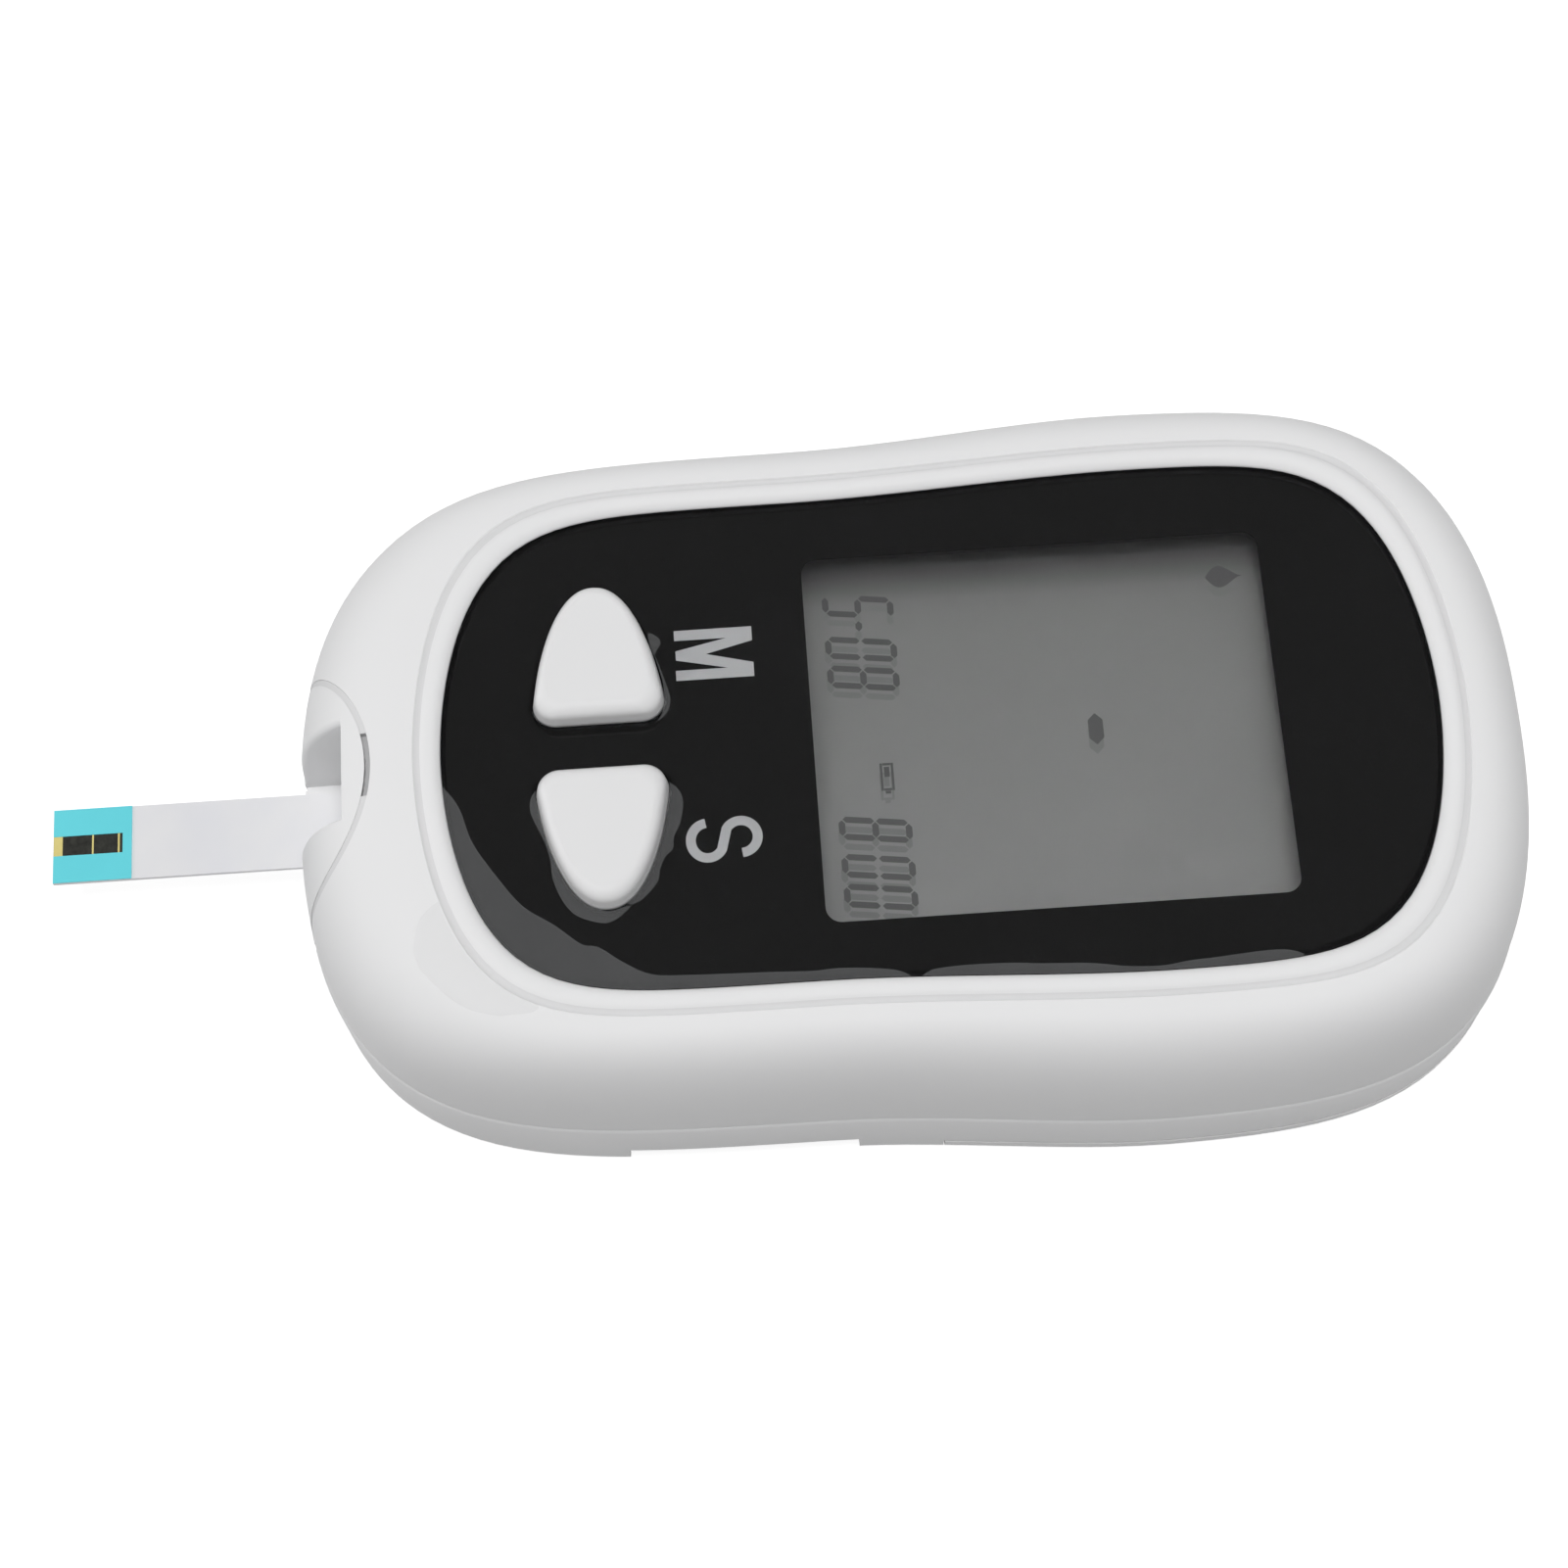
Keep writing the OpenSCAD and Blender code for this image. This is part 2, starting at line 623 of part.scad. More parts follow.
// Side view of a contact: it comes down behind the strip, bends over it and ends in a raised tip
contact_shape = [[-1.2, contact_height], [-1.2, contact_bend], [3.4, contact_lift], [4.4, 0.7],
    [4.4, 0.7 + contact_thickness], [3.4, contact_lift + contact_thickness * 1.1],
    [-1.2 + contact_thickness, contact_bend + contact_thickness],
    [-1.2 + contact_thickness, contact_height]];
module strip_contacts() color("gold") for (i = [0 : contact_count - 1])
    translate([(i - (contact_count - 1) / 2) * contact_pitch + contact_width / 2, strip_back, strip_top])
        rotate([90, 0, -90]) linear_extrude(contact_width) polygon(contact_shape);

// --- Test strip --------------------------------------------------------------------------------
base_top = strip_bottom + strip_thickness;
module strip_base() color([0.88, 0.87, 0.92])
    box([-strip_width / 2, strip_width / 2], [strip_tip, strip_back], [strip_bottom, base_top]);

module strip_cover() color([0.37, 0.82, 0.86]) difference() {
    box([-strip_width / 2, strip_width / 2], [strip_tip, strip_tip + cover_length], [base_top, strip_top]);
    box([-reaction_width / 2, reaction_width / 2], [strip_tip - 1, strip_tip + reaction_length],
        [base_top - 1, strip_top + 1]);
}

module strip_reaction_pad() color([0.1, 0.1, 0.1])
    box([-reaction_width / 2, reaction_width / 2], [strip_tip, strip_tip + reaction_length],
        [base_top, base_top + cover_thickness / 2]);

track_pitch = 1.1;
track_width = 0.7;
track_length = 9;
module strip_tracks() color("goldenrod") for (i = [-2 : 2])
    box([i * track_pitch - track_width / 2, i * track_pitch + track_width / 2],
        [strip_back - track_length, strip_back - 0.3], [base_top, base_top + cover_thickness / 3]);

// --- Display -----------------------------------------------------------------------------------
glass_width = window_width + 2 * glass_border;
glass_length = window_length + 2 * glass_border + 0.8;
zebra_width = 1.6;
zebra_place = glass_length / 2 - 1.1;
frame_width = glass_width + 2 * (inner_gap + frame_wall);
frame_length = glass_length + 2 * (inner_gap + frame_wall);
module glass_sheet(top) {
    translate([0, window_shift, top - glass_thickness / 2])
        cube([glass_width, glass_length, glass_thickness], center = true);
}
module lcd_front_glass() color([0.45, 0.46, 0.44]) glass_sheet(glass_top);
module lcd_rear_glass() color([0.5, 0.52, 0.5]) glass_sheet(rear_glass_top);
module lcd_reflector() color("silver") translate([0, window_shift, reflector_top - reflector_thickness / 2])
    cube([glass_width, 2 * zebra_place - zebra_width - 2 * inner_gap, reflector_thickness], center = true);

module lcd_frame() color([0.2, 0.2, 0.21]) translate([0, window_shift, 0]) difference() {
    rounded_slab(frame_width, frame_length, 1, board_top, face_bottom - inner_gap);
    translate([0, 0, glass_top / 2])
        cube([glass_width + 2 * inner_gap, glass_length + 2 * inner_gap, glass_top], center = true);
    rounded_slab(window_width + 2 * window_step, window_length + 2 * window_step,
        window_corner + window_step, board_top, face_bottom + 1);
}

module zebra_connectors() color([0.75, 0.45, 0.5]) for (side = [-1, 1])
    translate([0, window_shift + side * zebra_place, (board_top + reflector_top) / 2])
        cube([glass_width - 2, zebra_width, reflector_top - board_top], center = true);

// --- Board -------------------------------------------------------------------------------------
board_back = window_shift + window_length / 2 + 8.4;
board_front = socket_back + 0.15;
board_waist = window_shift - glass_length / 2 - frame_wall - 1;
board_right = [[13, board_front], [17, board_front + 4.5], [17, board_waist], [19, board_waist + 1],
    [19, board_back - 5], [15, board_back]];
chip_size = [10, 10, 1.4];
small_part = [1.6, 0.9, 0.6];
crystal = [6, 2.4, 1.2];
buzzer_height = 2.5;
module main_board() color("darkgreen") difference() {
    translate([0, 0, board_bottom]) linear_extrude(board_thickness)
        polygon(concat(board_right, [for (p = reversed(board_right)) [-p[0], p[1]]]));
    at_pairs(board_screw_places)
        translate([0, 0, board_bottom - 1]) cylinder(board_thickness + 2, r = board_screw / 2 + 0.15);
}

// A part that hangs from the board's underside
module under_board(x, y, size) {
    translate([x, y, board_bottom - size[2] / 2]) cube(size, center = true);
}
module controller_chip() color([0.12, 0.12, 0.13]) under_board(0, board_waist + 2.5, chip_size);

module board_parts() color([0.55, 0.45, 0.35]) {
    for (i = [0 : 4], side = [-1, 1]) under_board(side * 9.5, board_waist - 2.5 + i * 2.6, small_part);
    under_board(0, board_waist - 7, crystal);
}

module buzzer() color([0.1, 0.1, 0.1]) translate([-11.5, board_front + 15, board_bottom - buzzer_height]) difference() {
    cylinder(buzzer_height, d = buzzer_diameter);
    translate([0, 0, -1]) cylinder(2, d = 1.6);
}

// --- Battery -----------------------------------------------------------------------------------
cell_button = 1;
// side is where the button points
module cell(y, side)
    translate([0, y, cell_z]) rotate([0, side * 90, 0]) translate([0, 0, -cell_length / 2]) {
    cylinder(cell_length - cell_button, d = cell_diameter);
    cylinder(cell_length, d = 3.8);
}
module battery_cell_front() color("darkolivegreen") cell(front_cell_y, 1);
module battery_cell_rear() color("darkolivegreen") cell(rear_cell_y, -1);

plate_thickness = 0.3;
spring_room = bay_half - plate_thickness - cell_length / 2;
wire = 0.5;
// Conical coil spring standing on a plate, its narrow end against the cell
module coil(turns, r0, r1, height) {
    per_turn = 14;
    sides = 6;
    n = turns * per_turn;
    function centre(i) = let (t = i / n, r = blend(r0, r1, t), a = 360 * i / per_turn)
        [r * cos(a), r * sin(a), wire / 2 + t * (height - wire)];
    points = [for (i = [0 : n], k = [0 : sides - 1])
        let (a = 360 * i / per_turn, b = 360 * k / sides, c = centre(i))
        [c[0] + wire / 2 * cos(b) * cos(a), c[1] + wire / 2 * cos(b) * sin(a), c[2] + wire / 2 * sin(b)]];
    sides_faces = [for (i = [0 : n - 1], k = [0 : sides - 1]) let (m = (k + 1) % sides)
        [i * sides + k, (i + 1) * sides + k, (i + 1) * sides + m, i * sides + m]];
    polyhedron(points, concat(sides_faces, [[for (k = [0 : sides - 1]) k]],
        [[for (k = [sides - 1 : -1 : 0]) n * sides + k]]));
}

module battery_springs() color("silver") {
    for (c = [[front_cell_y, -1], [rear_cell_y, 1]])
        translate([c[1] * (bay_half - plate_thickness), c[0], cell_z]) rotate([0, -c[1] * 90, 0])
            coil(2, 3.4, 2.2, spring_room - 0.05);
}

module battery_plates() color("silver") {
    for (side = [-1, 1])
        box(side > 0 ? [bay_half - plate_thickness, bay_half] : [-bay_half, plate_thickness - bay_half],
            [bay_front + 1, bay_back - 1], [cell_z - 4, cell_z + 4]);
}

// --- Screws ------------------------------------------------------------------------------------
module screw(d, length, head) difference() {
    union() {
        cylinder(length, d = d);
        translate([0, 0, -screw_head_height]) cylinder(screw_head_height, d = head);
    }
    for (a = [0, 90]) rotate([0, 0, a]) box([-1, 1], [-0.2, 0.2], [-2, -0.6]);
}
module case_screws() color("silver") at_pairs(case_screw_places)
    translate([0, 0, case_head_z]) screw(case_screw, case_screw_top - case_head_z, screw_head);
module board_screws() color("silver") at_pairs(board_screw_places)
    translate([0, 0, board_bottom]) screw(board_screw, board_thickness + 3, 2.8);

front_shell();
back_shell();
window_lens();
window_mask();
screen_film();
memory_key_cap();
memory_switch_plunger();
set_key_cap();
set_switch_plunger();
port_holder();
strip_base();
strip_cover();
strip_reaction_pad();
strip_tracks();
battery_door();
lcd_front_glass();
lcd_rear_glass();
lcd_reflector();
lcd_frame();
zebra_connectors();
main_board();
controller_chip();
board_parts();
buzzer();
switch_housings();
strip_connector();
strip_contacts();
battery_cell_front();
battery_cell_rear();
battery_springs();
battery_plates();
board_screws();
case_screws();
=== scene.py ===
"""Pocket blood glucose meter: looks. Sizes are in millimetres and repeat the CAD source's named values."""
from math import cos, pi, radians, sin

import bpy
import bmesh
from mathutils import Matrix, Vector


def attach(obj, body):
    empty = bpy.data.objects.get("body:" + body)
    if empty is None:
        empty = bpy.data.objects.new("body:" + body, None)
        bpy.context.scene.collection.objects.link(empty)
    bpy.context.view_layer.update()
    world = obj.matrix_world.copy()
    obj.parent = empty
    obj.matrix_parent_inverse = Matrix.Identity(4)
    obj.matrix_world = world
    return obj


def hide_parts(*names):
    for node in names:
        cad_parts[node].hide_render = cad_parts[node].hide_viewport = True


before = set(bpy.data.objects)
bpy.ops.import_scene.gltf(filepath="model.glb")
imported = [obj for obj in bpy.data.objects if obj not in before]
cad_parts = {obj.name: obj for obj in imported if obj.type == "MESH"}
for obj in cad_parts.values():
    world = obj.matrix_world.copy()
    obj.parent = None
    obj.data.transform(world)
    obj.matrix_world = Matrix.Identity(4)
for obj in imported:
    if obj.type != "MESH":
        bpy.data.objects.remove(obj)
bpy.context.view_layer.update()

MM = 0.001
BOTH = (-1, 1)
WELD = 0.0008

# --- Sizes -------------------------------------------------------------------------------------
BODY_LENGTH, STRIP_WIDTH_END, DISPLAY_WIDTH_END, BODY_HEIGHT = 92.8, 52.2, 55.4, 19.8
SEAM, WALL, WAIST_START, WAIST_END, CROWN_POWER = 7.5, 1.5, 8.0, 18.0, 2.55
BASE_RADIUS, DRAFT, SEAM_LEDGE, TONGUE, TONGUE_SEAT = 0.8, 0.2, 0.15, 1.1, 0.7
PANEL_LENGTH, PANEL_SHIFT, PANEL_NARROW, PANEL_WIDE = 73.5, 2.15, 38.4, 40.3
PANEL_TOP, LENS_BOTTOM, FACE_TOP, FACE_BOTTOM = 19.4, 18.4, 18.3, 17.2
GROOVE_NEAR, GROOVE_WIDTH, GROOVE_TOP = 1.5, 0.55, 19.65
WINDOW_W, WINDOW_L, WINDOW_Y, WINDOW_STEP, WINDOW_CORNER = 29.2, 34.4, 10.0, 0.8, 1.2
GLASS_TOP = 16.2
KEY_INNER, KEY_REACH, KEY_WIDTH, KEY_LINE, KEY_TOP, KEY_EDGE = 2.0, 10.6, 9.7, 22.8, 21.2, 1.05
KEY_GAP, KEY_CORNER, KEY_FLANGE, FLANGE_LOW, FLANGE_HIGH = 0.25, 1.6, 0.8, 16.3, 17.1
STEM_X, STEM_LOW, STEM_R = 6.57, 15.7, 1.5
STRIP_END, STRIP_OUT = -BODY_LENGTH / 2, 19.2
HOLDER_R, HOLDER_Y, HOLDER_GAP, HOLDER_BOTTOM, SOCKET_WALL = 10.8, STRIP_END - 4.4, 0.25, 5.2, 1.2
BORE_R = HOLDER_R + HOLDER_GAP
SOCKET_R = BORE_R + SOCKET_WALL
NOTCH_W, NOTCH_BACK, STRIP_BOTTOM, STRIP_TOP = 7.6, STRIP_END + 4.4, 7.0, 7.45
SLOT_HALF, SLOT_GAP, LIP_DEPTH, LIP_WIDTH = 3.2, 0.1, 0.05, 0.2
NAIL_W, NAIL_FRONT, NAIL_DEPTH = 5.0, HOLDER_Y + 5, 0.5
PASSAGE_HALF, PASSAGE_END = 4, HOLDER_Y + SOCKET_R + 0.2
FLOOR_TOP, RECESS_DEPTH, DOOR_FRONT, BAND_FRONT, RECESS_FRONT = 3.5, 2.5, 0.7, -5.6, -22.9
DOOR_EDGE, DOOR_GAP, DOOR_THICK, DOOR_TRAVEL = 1.85, 0.1, 1.4, 6.0
BAY_HALF, BAY_FRONT, BAY_BACK, BAY_TOP, BAY_WALL = 23.7, 3.9, 25.9, 12.1, 0.8
HOOK_X, HOOK_Y, HOOK_L, HOOK_TOP, HOOK_NECK, HOOK_HEAD = 17.0, 30.1, 3.0, 3.65, 0.8, 1.9
TAB_X, TAB_HALF, TAB_REACH, TAB_LOW, TAB_HIGH = 11, 3, 1.8, 0.4, 1.2
RIBS, RIB_START, RIB_STEP, RIB_WIDTH, RIB_DEPTH, RIB_HALF = 5, 4, 1.6, 0.8, 0.35, 7
STRIP_POWERS, DISPLAY_POWERS, PANEL_POWERS = (5.1, 2.5), (5.5, 2.46), (8.2, 1.87)
CASE_SCREWS = [(side * x, y) for x, y in ((20.0, -14.25), (9.0, 39.9)) for side in BOTH]
SCREW_PILOT_R, SCREW_HOLE_R, SCREW_HEAD_R, UPPER_BOSS_R, LOWER_BOSS_R = 0.87, 1.0, 1.9, 2.2, 2.5
SIDE_STEPS, END_STEPS, CROWN_STEPS, BASE_STEPS = 26, 24, 26, 8
OUT = 60.0  # past every face of the meter


# --- Outlines ----------------------------------------------------------------------------------
def blend(a, b, t):
    return a + (b - a) * t


def widening(y):
    t = min(1.0, max(0.0, (y + WAIST_START) / (WAIST_START + WAIST_END)))
    return t * t * (3 - 2 * t)


def quarter(powers):
    """A quarter of an outline as fractions, from the middle of the side to the middle of the end."""
    corner_y, corner_x = 0.5 ** (1 / powers[0]), 0.5 ** (1 / powers[1])
    points = []
    for i in range(SIDE_STEPS + 1):
        v = corner_y * (1 - (1 - i / SIDE_STEPS) ** 1.3)
        points.append(((1 - v ** powers[0]) ** (1 / powers[1]), v))
    for i in range(1, END_STEPS + 1):
        u = corner_x * (1 - i / END_STEPS)
        points.append((u, (1 - u ** powers[1]) ** (1 / powers[0])))
    return points


def all_round(far, near):
    return (far + [(-x, y) for x, y in far[-2:0:-1]] + [(-x, -y) for x, y in near]
            + [(x, -y) for x, y in near[-2:0:-1]])


BODY = all_round(quarter(DISPLAY_POWERS), quarter(STRIP_POWERS))
PANEL = all_round(quarter(PANEL_POWERS), quarter(PANEL_POWERS))


def body_ring(inset, z):
    ring = []
    for u, v in BODY:
        y = v * (BODY_LENGTH / 2 - inset)
        half = blend(STRIP_WIDTH_END, DISPLAY_WIDTH_END, widening(y)) / 2 - inset
        ring.append(Vector((u * half, y, z)))
    return ring


def panel_ring(grow, z):
    ring = []
    for u, v in PANEL:
        y = PANEL_SHIFT + v * (PANEL_LENGTH / 2 + grow)
        half = blend(PANEL_NARROW, PANEL_WIDE, widening(y)) / 2 + grow
        ring.append(Vector((u * half, y, z)))
    return ring


def crown(a, b, low, high, steps):
    """Rings that rise from ring a at low to ring b at high on a rounded section."""
    rings = []
    for i in range(1, steps + 1):
        q = radians(90 * i / steps)
        t, h = 1 - cos(q) ** (2 / CROWN_POWER) if i < steps else 1.0, sin(q) ** (2 / CROWN_POWER)
        rings.append([Vector((*(p.xy.lerp(r.xy, t)), blend(low, high, h))) for p, r in zip(a, b)])
    return rings


def key_ring(side, grow, z, points=22, corner_points=9):
    """Outline of a key: side is 1 for the right-hand key, -1 for the left-hand one."""
    reach, half, corner = KEY_REACH + 2 * grow, KEY_WIDTH / 2 + grow, KEY_CORNER + max(0.0, grow)
    last_t, flat, tip = 1 - corner / reach, KEY_INNER - grow, KEY_INNER + KEY_REACH + grow
    profile = lambda t: (1 - (1 - t) ** 1.6) ** (1 / 2.15)
    upper = [(tip - reach * last_t * (i / points) ** 2, half * profile(last_t * (i / points) ** 2))
             for i in range(points + 1)]
    edge = half * profile(last_t)
    for i in range(1, corner_points + 1):
        a = pi / 2 * i / corner_points
        upper.append((flat + corner - corner * sin(a), edge - corner + corner * cos(a)))
    outline = upper + [(x, -y) for x, y in reversed(upper) if y > 1e-6]
    return [Vector((side * x, y - KEY_LINE, z)) for x, y in outline]


def base_rings():
    """The rounded lower edge of the housing, from the rest face up."""
    rings = []
    for i in range(BASE_STEPS + 1):
        a = pi / 2 * i / BASE_STEPS
        rings.append(body_ring(DRAFT + BASE_RADIUS * (1 - sin(a)), BASE_RADIUS * (1 - cos(a))))
    return rings


def outer_crown(inset=0.0):
    return crown(body_ring(SEAM_LEDGE + inset, 0), panel_ring(GROOVE_NEAR + GROOVE_WIDTH - inset, 0), SEAM,
                 GROOVE_TOP - inset, CROWN_STEPS)


# --- Makers: each returns a function that adds its form to a bmesh -------------------------------
def loft(*rings):
    """A closed solid through rings of points, one after the other."""
    def make(bm):
        verts = [bm.verts.new(p) for p in rings[0]]
        first = loop = [bm.edges.new((a, b)) for a, b in zip(verts, verts[1:] + verts[:1])]
        for ring in rings[1:]:
            geom = bmesh.ops.extrude_edge_only(bm, edges=loop)["geom"]
            fresh = {g for g in geom if isinstance(g, bmesh.types.BMVert)}
            verts = [next(e.other_vert(v) for e in v.link_edges if e.other_vert(v) in fresh) for v in verts]
            for v, p in zip(verts, ring):
                v.co = p
            loop = [bm.edges.get((a, b)) for a, b in zip(verts, verts[1:] + verts[:1])]
        for ends in (first, loop):
            bmesh.ops.contextual_create(bm, geom=ends)
    return make


def box(x, y, z, corner=0.0, segments=4):
    """A box between pairs of limits, with rounded upright edges."""
    def make(bm):
        geom = bmesh.ops.create_cube(bm, size=1.0)["verts"]
        size = Vector((x[1] - x[0], y[1] - y[0], z[1] - z[0]))
        centre = Vector((x[0] + x[1], y[0] + y[1], z[0] + z[1])) / 2
        bmesh.ops.scale(bm, vec=size, verts=geom)
        bmesh.ops.translate(bm, vec=centre, verts=geom)
        if corner:
            edges = {e for v in geom for e in v.link_edges}
            upright = {e for e in edges if abs(e.verts[0].co.z - e.verts[1].co.z) > 0.5 * size.z}
            bmesh.ops.bevel(bm, geom=list(upright), offset=corner, segments=segments, profile=0.5,
                            affect="EDGES", material=-1)
    return make


def cylinder(x, y, low, high, r, sides=160):
    def make(bm):
        geom = bmesh.ops.create_cone(bm, cap_ends=True, segments=sides, radius1=r, radius2=r,
                                     depth=high - low)
        bmesh.ops.translate(bm, vec=(x, y, (low + high) / 2), verts=geom["verts"])
    return make


def plate(outline, low, high):
    """A flat plate with that outline of (x, y) points."""
    def make(bm):
        verts = [bm.verts.new((x, y, low)) for x, y in outline]
        edges = [bm.edges.new((a, b)) for a, b in zip(verts, verts[1:] + verts[:1])]
        face = bmesh.ops.contextual_create(bm, geom=edges)["faces"]
        fresh = bmesh.ops.extrude_face_region(bm, geom=face)["geom"]
        bmesh.ops.translate(bm, vec=(0, 0, high - low),
                            verts=[g for g in fresh if isinstance(g, bmesh.types.BMVert)])
    return make


def panel_block(grow, low, high):
    return loft(panel_ring(grow, low), panel_ring(grow, high))


def key_block(side, grow, low, high):
    return loft(key_ring(side, grow, low), key_ring(side, grow, high))


def strip_passage():
    return box((-PASSAGE_HALF, PASSAGE_HALF), (HOLDER_Y, PASSAGE_END), (STRIP_BOTTOM - 1, STRIP_TOP + 1))


def whole_form(inset):
    """The closed outer form of the housing, pulled in by inset, without groove and rim."""
    low = [body_ring(inset + DRAFT, inset + 1)] if inset else base_rings()
    return loft(*low, body_ring(inset, SEAM), body_ring(SEAM_LEDGE + inset, SEAM), *outer_crown(inset))


def edge_round(x, back, full_radius, reach=0.3, steps=6):
    """Cutter that rounds the edge between the outer form and the plane at that x, up to y = back.

    The radius grows from a fifth at the strip to its full size 5 mm higher."""
    path = []
    for ring in [body_ring(0, z) for z in (STRIP_BOTTOM - 1, STRIP_BOTTOM - 0.2, SEAM)] + outer_crown():
        for a, b in zip(ring, ring[1:]):
            if (a.x - x) * (b.x - x) <= 0 and a.x != b.x and a.y < 0:
                path.append(a.lerp(b, (x - a.x) / (b.x - a.x)))
    inner = [p for p in path if p.y < back]
    after = path[len(inner)]
    path = inner + [inner[-1].lerp(after, (back - inner[-1].y) / (after.y - inner[-1].y))]
    side = Vector((1 if x > 0 else -1, 0, 0))
    rings = []
    for k, p in enumerate(path):
        along = (path[min(k + 1, len(path) - 1)] - path[max(k - 1, 0)]).normalized()
        out = Vector((0, -along.z, along.y))
        radius = full_radius * min(1.0, max(0.2, (p.z - STRIP_TOP) / 5))
        centre = p + radius * (side - out)
        angles = [pi / 2 * i / steps for i in range(steps + 1)]
        arc = [centre + radius * (sin(a) * out - cos(a) * side) for a in angles]
        rings.append(arc + [arc[-1] + reach * out, p + reach * (out - side), arc[0] - reach * side])
    return loft(*rings)


# --- Building ----------------------------------------------------------------------------------
def mesh_object(name, bm):
    bmesh.ops.recalc_face_normals(bm, faces=bm.faces)
    mesh = bpy.data.meshes.new(name)
    bm.to_mesh(mesh)
    bm.free()
    obj = bpy.data.objects.new(name, mesh)
    bpy.context.scene.collection.objects.link(obj)
    return obj


def solid(name, *makers):
    """One object from makers that each add geometry to the same bmesh."""
    bm = bmesh.new()
    for make in makers:
        make(bm)
    return mesh_object(name, bm)


def combine(target, operation, *tools):
    """Cuts, joins or intersects target with each tool, an object or a maker, and applies the result."""
    for tool in tools:
        if callable(tool):
            tool = solid("tool", tool)
        mod = target.modifiers.new("combine", "BOOLEAN")
        mod.operation, mod.object, mod.solver = operation, tool, "MANIFOLD"
        depsgraph = bpy.context.evaluated_depsgraph_get()
        result = bpy.data.meshes.new_from_object(target.evaluated_get(depsgraph))
        target.modifiers.clear()
        old, target.data = target.data, result
        bpy.data.meshes.remove(old)
        bpy.data.objects.remove(tool)


def finish_piece(obj, body, mats, replaces=(), sharp=32.0):
    """Scales a piece to metres, shades it, and lets it ride on its body."""
    bm = bmesh.new()
    bm.from_mesh(obj.data)
    bmesh.ops.remove_doubles(bm, verts=bm.verts, dist=WELD)
    bmesh.ops.dissolve_degenerate(bm, edges=bm.edges, dist=WELD)
    bmesh.ops.recalc_face_normals(bm, faces=bm.faces)
    bmesh.ops.scale(bm, vec=(MM, MM, MM), verts=bm.verts)
    bm.to_mesh(obj.data)
    bm.free()
    obj.data.materials.clear()
    for mat in mats:
        obj.data.materials.append(M[mat])
    obj.data.polygons.foreach_set("use_smooth", [True] * len(obj.data.polygons))
    obj.data.set_sharp_from_angle(angle=radians(sharp))
    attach(obj, body)
    if replaces:
        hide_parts(*replaces)


def shade_faces(obj, index, test):
    """Gives a material to the faces whose corners, in millimetres, all pass the test."""
    verts = obj.data.vertices
    for poly in obj.data.polygons:
        if all(test(verts[i].co / MM) for i in poly.vertices):
            poly.material_index = index


# --- Materials ---------------------------------------------------------------------------------
def material(name, colour, rough=0.45, vary=0.03, rough_vary=0.06, cloud=90.0, grain=2600.0, bump=0.0,
             distance=0.02, metal=0.0, alpha=1.0, transmission=0.0, ior=1.5, specular=0.5, tint=None):
    """Moulded or printed surface: cloudy tone, grain in roughness and a fine bump, on object coordinates."""
    mat = bpy.data.materials.new(name)
    mat.use_nodes = True
    nodes, links = mat.node_tree.nodes, mat.node_tree.links
    shader = nodes["Principled BSDF"]
    coord = nodes.new("ShaderNodeTexCoord")

    def noise(scale, detail):
        node = nodes.new("ShaderNodeTexNoise")
        node.inputs["Scale"].default_value = scale
        node.inputs["Detail"].default_value = detail
        links.new(coord.outputs["Object"], node.inputs["Vector"])
        return node

    clouds, fine = noise(cloud, 3.0), noise(grain, 2.0)
    mix = nodes.new("ShaderNodeMix")
    mix.data_type = "RGBA"
    dark = [c * (1 - vary) for c in colour]
    light = [min(1.0, c * (1 + vary)) for c in (tint or colour)]
    mix.inputs["A"].default_value = (*dark, 1)
    mix.inputs["B"].default_value = (*light, 1)
    links.new(clouds.outputs["Fac"], mix.inputs["Factor"])
    links.new(mix.outputs["Result"], shader.inputs["Base Color"])
    ramp = nodes.new("ShaderNodeMapRange")
    ramp.inputs["To Min"].default_value = max(0.0, rough - rough_vary)
    ramp.inputs["To Max"].default_value = min(1.0, rough + rough_vary)
    links.new(fine.outputs["Fac"], ramp.inputs["Value"])
    links.new(ramp.outputs["Result"], shader.inputs["Roughness"])
    if bump:
        relief = nodes.new("ShaderNodeBump")
        relief.inputs["Strength"].default_value = bump
        relief.inputs["Distance"].default_value = distance * MM
        links.new(fine.outputs["Fac"], relief.inputs["Height"])
        links.new(relief.outputs["Normal"], shader.inputs["Normal"])
    for socket, value in (("Metallic", metal), ("Alpha", alpha), ("Transmission Weight", transmission),
                          ("IOR", ior), ("Specular IOR Level", specular)):
        shader.inputs[socket].default_value = value
    return mat


